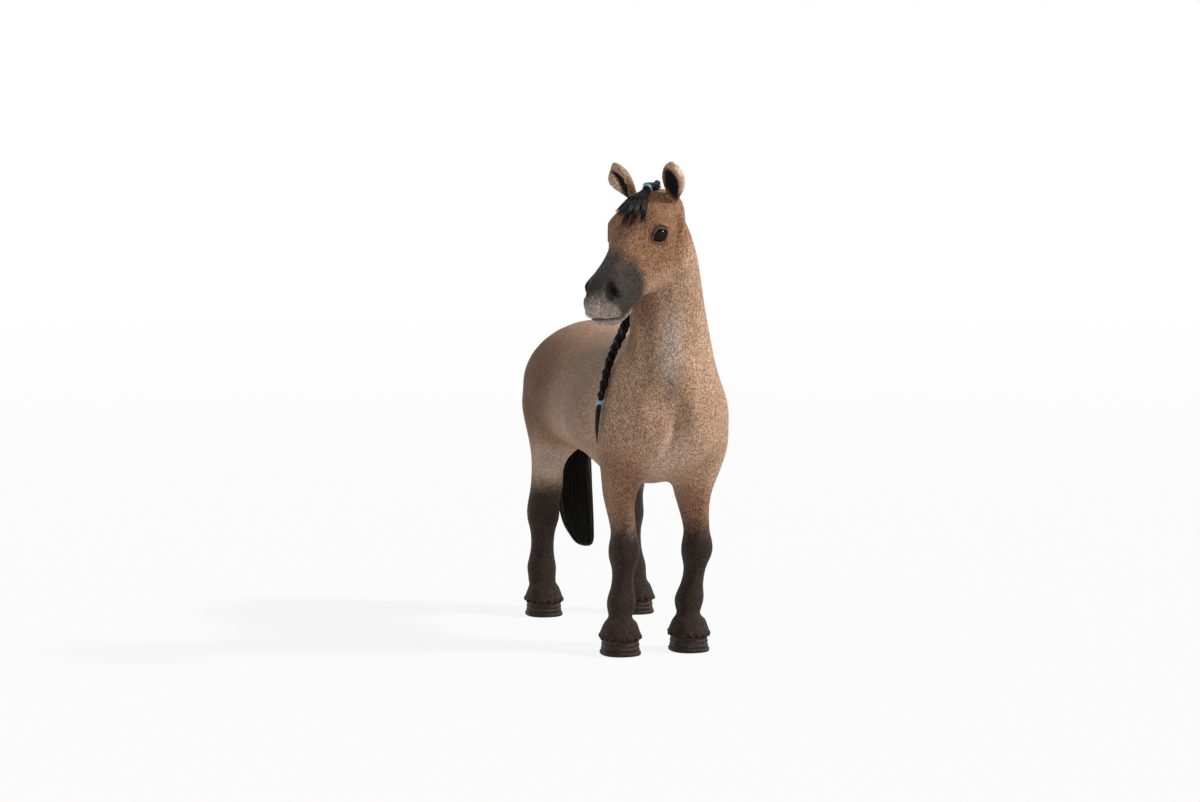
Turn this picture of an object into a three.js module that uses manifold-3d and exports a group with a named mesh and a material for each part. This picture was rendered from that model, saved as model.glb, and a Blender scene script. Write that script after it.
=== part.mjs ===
// A toy horse in hard painted plastic, standing square with its head turned to its right.
// It is cast in pieces that are pegged and glued: a trunk, a head and neck, four legs, a tail,
// a plaited mane, a forelock and two hair ties.
// Millimetres. +Z is up, the horse faces -Y and its left side is +X.
// The origin is on the ground, under the middle of the figure.
import * as THREE from "three";
import { mergeVertices } from "three/addons/utils/BufferGeometryUtils.js";
import Module from "manifold-3d";

const wasm = await Module();
wasm.setup();

const degrees = THREE.MathUtils.degToRad;
const v3 = (x, y, z) => new THREE.Vector3(x, y, z);
const upright = v3(0, 0, 1);

// Trunk
const withersHeight = 72;
const trunkLength = 77;
const haunchWidth = 35;

// Neck
const neckRise = 29;
const neckReach = 25;
const neckWidth = 16;
const neckTurn = degrees(30);
const neckLean = degrees(6.6);

// Head
const headLength = 33;
const headWidth = 13.6;
const headDepth = 18.4;
const headPitch = degrees(38);
const headTurn = degrees(20);
const eyeWidth = 3.1;
const nostrilWidth = 1.7;
const mouthGap = 0.5;
const mouthDepth = 0.6;
const mouthLean = degrees(-12);

// Ears
const earLength = 8.8;
const earWidth = 5.3;
const earLean = degrees(6);
const earSplay = degrees(20);
const earOutward = degrees(8);
const earCast = degrees(10);

// Legs
const foreStance = 16.7;
const hindStance = 20;
const kneeWidth = 6.8;
const kneeDepth = 7.4;
const hockWidth = 7.6;
const hockDepth = 9.6;
const hoofWidth = 8.7;
const hoofLength = 10;
const hoofHeight = 3.9;
const foreHoofForward = 0.9;
const hindHoofForward = 1.2;
const shoeHeight = 1;
const shoeLip = 0.15;

// Tail
const tailLength = 52;
const tailWidth = 8.8;
const tailDepth = 7;
const fluteDepth = 0.9;
const dockDip = degrees(20);

// Plait
const plaitWidth = 2.8;
const plaitThickness = 2.2;
const lobeLength = 2.8;
const tuftLength = 9;
const tieWidth = 0.65;
const tieRadius = 0.65;

// Forelock
const forelockStrand = 1.5;

// Joints between the castings
const neckPegWidth = 11;
const legPegWidth = 4.4;
const tailPegWidth = 3;
const pegLength = 5;
const pegTaper = 0.3;
const pegClearance = 0.2;
const glueLine = 0.1;

const materials = {
  coat: new THREE.MeshStandardMaterial({ color: 0xa9805f, roughness: 0.75, metalness: 0 }),
  points: new THREE.MeshStandardMaterial({ color: 0x3b302a, roughness: 0.75, metalness: 0 }),
  hair: new THREE.MeshStandardMaterial({ color: 0x111113, roughness: 0.55, metalness: 0 }),
  tie: new THREE.MeshStandardMaterial({ color: 0x8fd0e6, roughness: 0.5, metalness: 0 }),
};

// A smooth curve through the rows of a table, from 0 at the first row to the last row's number
function throughRows(rows) {
  const numbers = rows.map((row, number) => number);
  const curve = new THREE.CubicInterpolant(numbers, rows.flat(), rows[0].length);
  return (at) => Array.from(curve.evaluate(THREE.MathUtils.clamp(at, 0, rows.length - 1)));
}

// One spoke of a section, before its relief. The section is an oval that reaches side and up:
// squarer above a square of 2, and narrower at its top with egg.
function spokeOf({ side, up, egg = 0, square = 2 }, angle) {
  const across = Math.sign(Math.cos(angle)) * Math.abs(Math.cos(angle)) ** (2 / square);
  const along = Math.sign(Math.sin(angle)) * Math.abs(Math.sin(angle)) ** (2 / square);
  const spoke = side.clone().multiplyScalar(across * (1 - egg * along));
  return spoke.addScaledVector(up, along);
}

// A closed section round its centre, moved out by relief at each angle
function ringOf(section, sides, relief = () => 0) {
  const ring = [];
  for (let i = 0; i < sides; i += 1) {
    const angle = (2 * Math.PI * i) / sides;
    const spoke = spokeOf(section, angle);
    spoke.addScaledVector(spoke.clone().normalize(), relief(angle));
    ring.push(section.centre.clone().add(spoke));
  }
  return ring;
}

// A closed skin over rings with the same number of points, capped at both ends
function skinOver(rings) {
  const sides = rings[0].length;
  const points = rings.flat();
  const faces = [];
  for (let first = 0; first + sides < points.length; first += sides) {
    for (let i = 0; i < sides; i += 1) {
      const [a, b] = [first + i, first + ((i + 1) % sides)];
      faces.push(a, b, a + sides, b, b + sides, a + sides);
    }
  }
  for (const [ring, first, turn] of [
    [rings[0], 0, 1],
    [rings.at(-1), points.length - sides, 0],
  ]) {
    points.push(middleOf(ring));
    for (let i = 0; i < sides; i += 1) {
      const edge = [first + ((i + turn) % sides), first + ((i + 1 - turn) % sides)];
      faces.push(points.length - 1, ...edge);
    }
  }
  return solidOf(new THREE.BufferGeometry().setFromPoints(points).setIndex(faces));
}

function middleOf(points) {
  return points.reduce((sum, p) => sum.add(p), v3(0, 0, 0)).divideScalar(points.length);
}

// A closed mesh as a solid, with its faces turned outwards
function solidOf(geometry) {
  const bare = geometry.clone();
  bare.deleteAttribute("normal");
  bare.deleteAttribute("uv");
  const merged = mergeVertices(bare);
  const corners = merged.getAttribute("position");
  const triangles = new Uint32Array(merged.index.array);
  const [a, b, c] = [v3(), v3(), v3()];
  let volume = 0;
  for (let i = 0; i < triangles.length; i += 3) {
    a.fromBufferAttribute(corners, triangles[i]);
    b.fromBufferAttribute(corners, triangles[i + 1]);
    c.fromBufferAttribute(corners, triangles[i + 2]);
    volume += a.dot(b.cross(c));
  }
  if (volume < 0) triangles.reverse();
  return new wasm.Manifold(
    new wasm.Mesh({ numProp: 3, vertProperties: corners.array, triVerts: triangles }),
  );
}

function geometryOf(solid) {
  const mesh = solid.getMesh();
  return new THREE.BufferGeometry()
    .setAttribute("position", new THREE.BufferAttribute(mesh.vertProperties, mesh.numProp))
    .setIndex(new THREE.BufferAttribute(mesh.triVerts, 1));
}

function joined(solids) {
  return solids.reduce((sum, solid) => sum.add(solid));
}

// An ellipsoid about centre with its three half axes
function ball(centre, axes, { around = 12, along = 7 } = {}) {
  const place = new THREE.Matrix4().makeBasis(...axes).setPosition(centre);
  return solidOf(new THREE.SphereGeometry(1, around, along).applyMatrix4(place));
}

// Gaussian rises and hollows, each a share of size. Rows and degrees say where each is and how wide.
function reliefOf(shares, size) {
  return (row, angle) => {
    const turn = THREE.MathUtils.radToDeg(Math.atan2(Math.sin(angle), Math.abs(Math.cos(angle))));
    return shares.reduce((sum, [rise, atRow, rows, atTurn, spread]) => {
      const far = ((row - atRow) / rows) ** 2 + ((turn - atTurn) / spread) ** 2;
      return sum + rise * size * Math.exp(-far);
    }, 0);
  };
}

// Body: the trunk and the neck, one skin from the buttocks to the poll.
// Each row has the topline's place, the underline's place, the half width and the egg.
// Trunk rows are shares of the trunk's length, the withers' height and half of the haunches' width.
const trunkShares = [
  [0.99, 0.905, 1.0, 0.77, 0.3, 0],
  [0.97, 0.945, 0.985, 0.69, 0.66, 0],
  [0.92, 0.98, 0.925, 0.62, 0.89, 0.01],
  [0.85, 1.003, 0.845, 0.585, 0.98, 0.03],
  [0.76, 1.01, 0.75, 0.572, 0.96, 0.06],
  [0.66, 0.99, 0.65, 0.552, 0.9, 0.05],
  [0.55, 0.965, 0.54, 0.532, 0.88, 0.06],
  [0.447, 0.961, 0.42, 0.52, 0.885, 0.08],
  [0.355, 0.983, 0.305, 0.515, 0.86, 0.12],
  [0.275, 1.0, 0.195, 0.525, 0.82, 0.2],
  [0.225, 1.02, 0.105, 0.56, 0.79, 0.28],
];
// Neck rows go on from the withers, in shares of the neck's reach and rise and half of its width
const neckShares = [
  [0.2, 0.12, 0.72, -0.9, 1.53, 0.4],
  [0.31, 0.24, 0.825, -0.68, 1.26, 0.36],
  [0.4, 0.37, 0.875, -0.43, 1.09, 0.26],
  [0.49, 0.52, 0.915, -0.2, 0.98, 0.18],
  [0.58, 0.66, 0.96, 0.03, 0.92, 0.12],
  [0.7, 0.79, 1.03, 0.24, 0.89, 0.1],
  [0.84, 0.9, 1.12, 0.42, 0.84, 0.05],
  [1.0, 0.985, 1.22, 0.58, 0.76, 0],
];
const withersShare = 0.275;
const shoulderRow = trunkShares.length - 1;
const neckSeamRow = trunkShares.length + 0.5;
const pollRow = trunkShares.length + neckShares.length - 1;

const bodyRows = throughRows([
  ...trunkShares.map(([topAlong, topHigh, lowAlong, lowHigh, half, egg]) => [
    topAlong * trunkLength,
    topHigh * withersHeight,
    lowAlong * trunkLength,
    lowHigh * withersHeight,
    (half * haunchWidth) / 2,
    egg,
  ]),
  ...neckShares.map(([topReach, topRise, lowReach, lowRise, half, egg]) => [
    withersShare * trunkLength - topReach * neckReach,
    withersHeight + topRise * neckRise,
    withersShare * trunkLength - lowReach * neckReach,
    withersHeight + lowRise * neckRise,
    (half * neckWidth) / 2,
    egg,
  ]),
]);

// Pectorals, the groove between them, the shoulders' points, the windpipe's grooves,
// the hollows behind the withers and at the loin, and the flank
const bodyReliefShares = [
  [0.1, 11.2, 1.2, -64, 17],
  [-0.08, 11.3, 1.7, -90, 12],
  [0.05, 10.7, 1, -26, 24],
  [-0.05, 14.5, 2, -60, 14],
  [-0.05, 9.7, 1, 46, 20],
  [-0.035, 5.3, 0.8, 18, 30],
  [0.035, 6.8, 1.4, -30, 30],
];
const bodyRelief = reliefOf(bodyReliefShares, haunchWidth / 2);
const bodyRings = 36;
const bodySides = 24;

// The body's section at a row, square to the body before the neck bends to the right
function straightSection(row) {
  const [topY, topZ, lowY, lowZ, half, egg] = bodyRows(row);
  return {
    centre: v3(0, (topY + lowY) / 2, (topZ + lowZ) / 2),
    up: v3(0, (topY - lowY) / 2, (topZ - lowZ) / 2),
    side: v3(half, 0, 0),
    egg,
  };
}

// The same vector with the neck's lean and turn at a row, both to the horse's right
function bentAt(row, vector) {
  const bend = THREE.MathUtils.smoothstep(row, shoulderRow, pollRow);
  return vector.applyAxisAngle(v3(0, 1, 0), -bend * neckLean).applyAxisAngle(upright, -bend * neckTurn);
}

// The body's section at a row. Past the shoulders each short stride forward is bent as the neck is there.
function bodySection(row) {
  const section = straightSection(row);
  if (row <= shoulderRow) return section;
  const strides = 24;
  const rowAt = (stride) => THREE.MathUtils.lerp(shoulderRow, row, stride / strides);
  const { centre } = straightSection(shoulderRow);
  for (let i = 0; i < strides; i += 1) {
    const stride = straightSection(rowAt(i + 1)).centre.sub(straightSection(rowAt(i)).centre);
    centre.add(bentAt(rowAt(i + 0.5), stride));
  }
  return { ...section, centre, up: bentAt(row, section.up), side: bentAt(row, section.side) };
}

// The body's skin, moved out by swell
function bodySkin(swell = 0) {
  const rings = [];
  for (let ring = 0; ring <= bodyRings; ring += 1) {
    const row = (pollRow * ring) / bodyRings;
    rings.push(ringOf(bodySection(row), bodySides, (angle) => bodyRelief(row, angle) + swell));
  }
  return skinOver(rings);
}

// A point on the body's skin, moved out by lift
function onBody(row, angle, lift = 0) {
  const section = bodySection(row);
  const spoke = spokeOf(section, angle);
  return section.centre.add(spoke.setLength(spoke.length() + bodyRelief(row, angle) + lift));
}

// Limbs: level sections from high in the trunk down to the fetlock. Each row has the height as a share
// of the withers' height, the place across and along as shares of half the stance and the trunk's length,
// the half width and depth as shares of half the joint's, the egg towards the back, and the square.
const foreShares = [
  [0.9, 0.72, 0.215, 0.85, 1.6, 0, 2],
  [0.81, 0.92, 0.19, 1.45, 2.3, 0, 2],
  [0.72, 1.03, 0.168, 1.84, 2.6, 0, 2],
  [0.64, 1.06, 0.17, 1.78, 2.45, 0, 2],
  [0.57, 1.04, 0.19, 1.55, 2.15, 0, 2],
  [0.507, 1.01, 0.206, 1.34, 1.82, 0, 2],
  [0.455, 0.99, 0.213, 1.14, 1.52, 0.05, 2],
  [0.405, 0.98, 0.216, 0.93, 1.18, 0.05, 2],
  [0.37, 0.98, 0.216, 0.85, 1.0, 0, 2],
  [0.34, 0.98, 0.213, 0.96, 1.02, -0.05, 2.3],
  [0.315, 0.98, 0.213, 1.0, 1.02, -0.05, 2.4],
  [0.29, 0.98, 0.216, 0.92, 0.98, -0.05, 2.3],
  [0.262, 0.98, 0.22, 0.73, 0.82, 0, 2],
  [0.225, 0.98, 0.222, 0.68, 0.78, 0, 2],
  [0.193, 0.98, 0.225, 0.77, 0.86, 0, 2],
  [0.163, 0.98, 0.226, 0.93, 0.99, 0.05, 2.2],
  [0.138, 0.98, 0.222, 0.87, 0.9, 0.05, 2.2],
  [0.113, 0.98, 0.214, 0.72, 0.76, 0, 2],
];
const hindShares = [
  [0.92, 0.5, 0.8, 0.9, 1.3, 0, 2],
  [0.85, 0.78, 0.82, 1.72, 2.1, 0, 2],
  [0.76, 0.89, 0.842, 2.22, 2.5, 0, 2],
  [0.68, 0.87, 0.855, 2.05, 2.4, 0.1, 2.1],
  [0.6, 0.84, 0.865, 1.75, 2.08, 0.15, 2],
  [0.54, 0.86, 0.885, 1.52, 1.76, 0.2, 2],
  [0.485, 0.92, 0.91, 1.26, 1.4, 0.22, 2],
  [0.435, 0.97, 0.94, 1.05, 1.12, 0.25, 2],
  [0.395, 1.0, 0.965, 0.97, 1.02, 0.3, 2],
  [0.36, 1.0, 0.975, 1.0, 1.0, 0.25, 2.2],
  [0.325, 1.0, 0.972, 0.97, 0.88, 0.15, 2.2],
  [0.285, 1.0, 0.97, 0.78, 0.7, 0.05, 2],
  [0.24, 1.0, 0.972, 0.72, 0.64, 0, 2],
  [0.2, 1.0, 0.978, 0.78, 0.68, 0, 2],
  [0.163, 1.0, 0.983, 0.92, 0.79, 0.05, 2.2],
  [0.135, 1.0, 0.98, 0.88, 0.73, 0.05, 2.2],
  [0.108, 1.0, 0.97, 0.84, 0.66, 0, 2],
];
// The hair over the hoof and the hoof itself, in shares of the hoof's height, half width and half length,
// then the square
const hoofShares = [
  [1.78, 0.84, 0.8, 2.1],
  [1.34, 0.98, 0.95, 2.2],
  [1.05, 1.06, 1.04, 2.3],
  [0.93, 1.03, 1.03, 2.3],
  [0.9, 0.93, 0.93, 2.3],
  [0.6, 0.955, 0.96, 2.3],
];
const bowEndShare = 0.7;
const limbSides = 12;
const limbSteps = { root: 8, leg: 20 };

const fore = {
  shares: foreShares,
  seatRow: 5,
  stance: foreStance,
  width: kneeWidth,
  depth: kneeDepth,
  hoofForward: foreHoofForward,
};
const hind = {
  shares: hindShares,
  seatRow: 5,
  stance: hindStance,
  width: hockWidth,
  depth: hockDepth,
  hoofForward: hindHoofForward,
};
const seatHeight = (limb) => limb.shares[limb.seatRow][0] * withersHeight;

// Each leg with its side, how far its hoof stands out and back from its line, and how far its knee or
// hock bows out, in shares of the hoof's width
const legs = {
  foreleg_right: { limb: fore, side: -1, outShare: 0.07, backShare: -0.05, bowShare: -0.03 },
  foreleg_left: { limb: fore, side: 1, outShare: -0.08, backShare: 0.05, bowShare: 0.16 },
  hindleg_right: { limb: hind, side: -1, outShare: -0.03, backShare: 0.16, bowShare: 0 },
  hindleg_left: { limb: hind, side: 1, outShare: 0.42, backShare: -0.18, bowShare: 0 },
};

// The leg's section at a row of its table
function legSection({ limb, side, outShare, backShare, bowShare }, row) {
  const [high, across, along, half, deep, egg, square] = throughRows(limb.shares)(row);
  const height = high * withersHeight;
  const drop = THREE.MathUtils.clamp(1 - height / seatHeight(limb), 0, 1);
  const bow = Math.sin(Math.PI * Math.min(1, drop / bowEndShare));
  return {
    centre: v3(
      side * ((across * limb.stance) / 2 + (outShare * drop + bowShare * bow) * hoofWidth),
      along * trunkLength + backShare * drop * hoofWidth,
      height,
    ),
    side: v3((half * limb.width) / 2, 0, 0),
    up: v3(0, (deep * limb.depth) / 2, 0),
    egg,
    square,
  };
}

function legRings(leg, fromRow, toRow, steps, swell = 0) {
  const rings = [];
  for (let step = 0; step <= steps; step += 1) {
    const row = THREE.MathUtils.lerp(fromRow, toRow, step / steps);
    rings.push(ringOf(legSection(leg, row), limbSides, () => swell));
  }
  return rings;
}

// The part of a limb that is cast with the trunk
function limbRoot(leg, swell = 0) {
  return skinOver(legRings(leg, 0, leg.limb.seatRow, limbSteps.root, swell));
}

function hoofRings(leg) {
  const { centre } = legSection(leg, leg.limb.shares.length - 1);
  const ring = (height, wide, long, square) => {
    const side = v3((wide * hoofWidth) / 2, 0, 0);
    const up = v3(0, (long * hoofLength) / 2, 0);
    const middle = v3(centre.x, centre.y - leg.limb.hoofForward, height);
    return ringOf({ centre: middle, side, up, square }, limbSides);
  };
  const [, wide, long, square] = hoofShares.at(-1);
  return [
    ...hoofShares.map(([high, w, l, s]) => ring(high * hoofHeight, w, l, s)),
    ring(shoeHeight + shoeLip, wide, long, square),
    ring(shoeHeight, 1, 1, square),
    ring(0, 1, 1, square),
  ];
}

const pegOvalShare = 0.7;

// An oval peg along a line from its seat, bigger all round by spare
function peg(seat, way, across, width, spare = 0) {
  const deep = across.clone().cross(way).normalize();
  const wide = across.clone().normalize();
  const ring = (far, half) => ({
    centre: seat.clone().addScaledVector(way, far),
    side: wide.clone().multiplyScalar(half * pegOvalShare),
    up: deep.clone().multiplyScalar(half),
  });
  const stations = [
    [-glueLine - pegClearance, width / 2 + spare],
    [pegLength / 2, width / 2 + spare],
    [pegLength + spare, width / 2 - pegTaper + spare],
  ];
  return skinOver(stations.map(([far, half]) => ringOf(ring(far, half), limbSides)));
}

function legPeg(leg, spare = 0) {
  const { centre } = legSection(leg, leg.limb.seatRow);
  return peg(centre, upright, v3(1, 0, 0), legPegWidth, spare);
}

function makeLeg(leg) {
  const { limb } = leg;
  const rings = legRings(leg, limb.seatRow, limb.shares.length - 1, limbSteps.leg);
  for (const point of rings[0]) point.z -= glueLine;
  return skinOver([...rings, ...hoofRings(leg)]).add(legPeg(leg));
}

// The seam between the trunk and the neck: a plane square to the body's side there
const seam = bodySection(neckSeamRow);
const seamAcross = seam.side.clone().normalize();
const seamWay = seam.up.clone().cross(seam.side).normalize();
if (seamWay.y > 0) seamWay.negate();

function neckPeg(spare = 0) {
  return peg(seam.centre, seamWay.clone().negate(), seamAcross, neckPegWidth, spare);
}

// Head: its own frame has along running down the face from the poll, up square to the forehead,
// and across to its left
const headHeading = neckTurn + headTurn;
const headAlong = v3(0, -Math.cos(headPitch), -Math.sin(headPitch)).applyAxisAngle(upright, -headHeading);
const headUp = v3(0, -Math.sin(headPitch), Math.cos(headPitch)).applyAxisAngle(upright, -headHeading);
const headAcross = v3(1, 0, 0).applyAxisAngle(upright, -headHeading);
const pollRiseShare = 1.25;
const crownShare = 1.8;
const pollSection = bodySection(pollRow);
const poll = pollSection.centre.clone().addScaledVector(pollSection.up, pollRiseShare);

// A place in the head, in shares of its length, depth and half width. Behind the poll the first share is
// of the crown's reach, which goes with the head's depth.
function inHead(along, up, across) {
  const reach = along < 0 ? crownShare * headDepth : headLength;
  return poll
    .clone()
    .addScaledVector(headAlong, along * reach)
    .addScaledVector(headUp, up * headDepth)
    .addScaledVector(headAcross, (across * headWidth) / 2);
}

// Rows down the face: how far along, the top, the underside, the half width, the egg and the square
const headShares = [
  [-0.09, -0.08, -0.41, 0.53, 0, 2],
  [-0.015, 0.055, -0.54, 0.74, 0, 2.2],
  [0.076, 0.12, -0.7, 0.84, -0.04, 2.4],
  [0.18, 0.147, -0.84, 0.92, -0.1, 2.5],
  [0.3, 0.125, -0.885, 0.97, -0.14, 2.5],
  [0.41, 0.076, -0.86, 0.9, -0.12, 2.4],
  [0.515, 0.033, -0.75, 0.76, -0.02, 2.3],
  [0.62, 0.005, -0.655, 0.65, 0.06, 2.3],
  [0.73, 0.0, -0.61, 0.6, 0.1, 2.3],
  [0.83, -0.005, -0.585, 0.6, 0.08, 2.4],
  [0.91, -0.043, -0.57, 0.58, 0, 2.4],
  [0.97, -0.12, -0.53, 0.5, 0, 2.3],
  [1.0, -0.215, -0.45, 0.3, 0, 2.1],
];
const headRow = headShares.length - 1;
// Brows, the hollows over the cheek and beside the nose, the cheekbone, the jowl, the nostrils' flare,
// the hollow under the lower lip
const headReliefShares = [
  [0.1, 4.1, 0.8, 44, 16],
  [-0.06, 5.9, 0.9, 16, 20],
  [-0.05, 7.3, 1, 34, 20],
  [0.05, 5.4, 0.9, -8, 10],
  [0.05, 3.6, 1, -38, 22],
  [0.09, 9.4, 0.8, 26, 22],
  [-0.08, 8.4, 0.7, -82, 26],
];
const headRelief = reliefOf(headReliefShares, headWidth / 2);
const headRings = 20;
const headSides = 20;

function headSection(row) {
  const [along, top, low, half, egg, square] = throughRows(headShares)(row);
  return {
    centre: inHead(along, (top + low) / 2, 0),
    side: headAcross.clone().multiplyScalar((half * headWidth) / 2),
    up: headUp.clone().multiplyScalar(((top - low) * headDepth) / 2),
    egg,
    square,
  };
}

function headSkin(swell = 0) {
  const rings = [];
  for (let ring = 0; ring <= headRings; ring += 1) {
    const row = (headRow * ring) / headRings;
    rings.push(ringOf(headSection(row), headSides, (angle) => headRelief(row, angle) + swell));
  }
  return skinOver(rings);
}

// A point on the head's skin, moved out by lift
function onHead(row, angle, lift = 0) {
  const section = headSection(row);
  const spoke = spokeOf(section, angle);
  return section.centre.add(spoke.setLength(spoke.length() + headRelief(row, angle) + lift));
}

// Half axes for something set in the head, in shares of its half size along the face, up and across
function axesOnFace(half, [along, up, across], lean = 0) {
  return [
    headAlong.clone().multiplyScalar(along * half).applyAxisAngle(headAcross, lean),
    headUp.clone().multiplyScalar(up * half).applyAxisAngle(headAcross, lean),
    headAcross.clone().multiplyScalar(across * half),
  ];
}

// Places in the head, in its shares
const eyeShares = { along: 0.315, up: -0.155, across: 0.84 };
const nostrilShares = { along: 0.87, up: -0.19, across: 0.42 };
const mouthShares = { along: 0.97, up: -0.41, length: 0.245 };
const earSeatShares = { along: 0.03, up: 0.01, across: 0.76 };
// Each thing's half axes along the face, up and out, in shares of half the eye's or the nostril's width
const lidShares = [1.55, 1.35, 0.9];
const slitShares = [1.15, 0.92, 0.75];
const eyeballShares = [1.1, 1, 0.82];
const nostrilRimShares = [1.9, 2.4, 1.5];
const nostrilHoleShares = [1.15, 1.7, 1.4];

// Lids, the slit between them and the eyeball that it shows
function withEyes(head) {
  const half = eyeWidth / 2;
  for (const side of [-1, 1]) {
    const centre = inHead(eyeShares.along, eyeShares.up, side * eyeShares.across);
    const outer = centre.clone().addScaledVector(headAcross, side * half);
    const lids = ball(centre, axesOnFace(half, lidShares));
    const slit = ball(outer, axesOnFace(half, slitShares));
    const eyeball = ball(centre, axesOnFace(half, eyeballShares));
    head = head.add(lids).subtract(slit).add(eyeball);
  }
  return head;
}

function withNostrils(head) {
  const half = nostrilWidth / 2;
  for (const side of [-1, 1]) {
    const centre = inHead(nostrilShares.along, nostrilShares.up, side * nostrilShares.across);
    const outer = centre.clone().addScaledVector(headAcross, side * half).addScaledVector(headAlong, half);
    const rim = ball(centre, axesOnFace(half, nostrilRimShares));
    const hole = ball(outer, axesOnFace(half, nostrilHoleShares));
    head = head.add(rim).subtract(hole);
  }
  return head;
}

// The lips part along a shallow groove round the muzzle
function withMouth(head) {
  const centre = inHead(mouthShares.along, mouthShares.up, 0);
  const halfAxes = [mouthShares.length, mouthGap / 2 / headLength, 1];
  const slit = ball(centre, axesOnFace(headLength, halfAxes, mouthLean), { around: 20, along: 12 });
  const floor = headSkin(-mouthDepth).translate(...headAlong.clone().multiplyScalar(-mouthDepth));
  return head.subtract(slit.subtract(floor));
}

// An ear: a leaf, hollowed from the front
const earShares = [
  [-0.14, 0.42],
  [0.02, 0.56],
  [0.2, 0.8],
  [0.38, 0.98],
  [0.54, 1.0],
  [0.7, 0.88],
  [0.84, 0.62],
  [0.94, 0.34],
  [1, 0.1],
];
const earHollowShares = [
  [0.08, 0.12],
  [0.2, 0.5],
  [0.36, 0.74],
  [0.54, 0.8],
  [0.7, 0.66],
  [0.84, 0.36],
  [0.9, 0.1],
];
const earDepthShare = 0.62;
const earHollowForwardShare = 0.28;
const earCurlShare = 0.1;
const earSides = 12;

function makeEar(side) {
  const seat = inHead(earSeatShares.along, earSeatShares.up, side * earSeatShares.across);
  const way = headUp.clone().applyAxisAngle(headAcross, -earLean).applyAxisAngle(headAlong, -side * earSplay);
  const facing = headAlong.clone().applyAxisAngle(way, side * earOutward - earCast);
  const front = facing.sub(way.clone().multiplyScalar(facing.dot(way))).normalize();
  const wide = way.clone().cross(front).normalize();
  const leaf = (shares, forward) =>
    skinOver(
      shares.map(([far, width]) => {
        const half = (width * earWidth) / 2;
        const centre = seat.clone().addScaledVector(way, far * earLength);
        centre.addScaledVector(headAcross, -side * earCurlShare * earLength * far ** 2);
        centre.addScaledVector(front, (forward * earWidth) / 2);
        const up = front.clone().multiplyScalar(half * earDepthShare);
        return ringOf({ centre, side: wide.clone().multiplyScalar(half), up }, earSides);
      }),
    );
  return leaf(earShares, 0).subtract(leaf(earHollowShares, earHollowForwardShare));
}

const body = bodySkin();
const roots = joined(Object.values(legs).map((leg) => limbRoot(leg)));
const figureBody = body.add(roots);
const figureBodyClear = joined([
  bodySkin(glueLine),
  ...Object.values(legs).map((leg) => limbRoot(leg, glueLine)),
  headSkin(glueLine),
]);
const seamAt = seam.centre.dot(seamWay);

function makeTrunk() {
  const trunk = figureBody.trimByPlane(seamWay.clone().negate().toArray(), -seamAt);
  const legSockets = Object.values(legs).map((leg) => legPeg(leg, pegClearance));
  const sockets = [neckPeg(pegClearance), tailPeg(pegClearance), ...legSockets];
  return trunk.subtract(joined(sockets));
}

function makeHeadAndNeck() {
  const neck = figureBody.trimByPlane(seamWay.toArray(), seamAt + glueLine).add(neckPeg());
  let head = headSkin();
  head = withMouth(withNostrils(withEyes(head)));
  return joined([neck, head, makeEar(1), makeEar(-1)]);
}

// A tube of rings along a list of stations, each with its point, its two half axes and, at will, a relief
function tubeThrough(stations, sides) {
  return skinOver(
    stations.map(({ point, wide, deep, relief }) => ringOf({ centre: point, side: wide, up: deep }, sides, relief)),
  );
}

// Tail: rows from the dock to the tip, in shares of its length backwards, down and to its left,
// then the width and depth as shares of half the tail's own
const tailShares = [
  [-0.03, -0.006, 0, 0.42],
  [0.035, 0, 0, 0.52],
  [0.085, 0.028, 0, 0.64],
  [0.12, 0.08, 0, 0.76],
  [0.145, 0.17, 0, 0.87],
  [0.155, 0.29, 0, 0.95],
  [0.155, 0.42, 0, 0.99],
  [0.15, 0.56, 0.004, 1.0],
  [0.145, 0.7, 0.01, 0.98],
  [0.14, 0.81, 0.018, 0.92],
  [0.135, 0.9, 0.032, 0.76],
  [0.13, 0.965, 0.046, 0.46],
  [0.13, 1.0, 0.055, 0.12],
];
const tailStrands = 9;
const tailTwist = degrees(50);
const dockShares = { row: 0.9, turn: degrees(90) };
const dock = onBody(dockShares.row, dockShares.turn);
const dockWay = v3(0, -Math.cos(dockDip), -Math.sin(dockDip));

function tailPeg(spare = 0) {
  const seat = dock.clone().addScaledVector(dockWay, glueLine);
  return peg(seat, dockWay, v3(1, 0, 0), tailPegWidth, spare);
}

function makeTail() {
  const rows = throughRows(tailShares);
  const last = tailShares.length - 1;
  const pointAt = (row) => {
    const [back, down, left] = rows(row);
    return dock.clone().add(v3(left, back, -down).multiplyScalar(tailLength));
  };
  const stations = [];
  for (let row = 0; row <= last; row += 1) {
    const way = pointAt(row + 0.1).sub(pointAt(row - 0.1)).normalize();
    const size = rows(row)[3] / 2;
    const deep = v3(1, 0, 0).cross(way).normalize();
    stations.push({
      point: pointAt(row),
      wide: v3(size * tailWidth, 0, 0),
      deep: deep.multiplyScalar(size * tailDepth),
      relief: (angle) => fluteDepth * size * Math.cos(tailStrands * angle + (tailTwist * row) / last),
    });
  }
  return tubeThrough(stations, tailStrands * 4).subtract(figureBodyClear).add(tailPeg());
}

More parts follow.
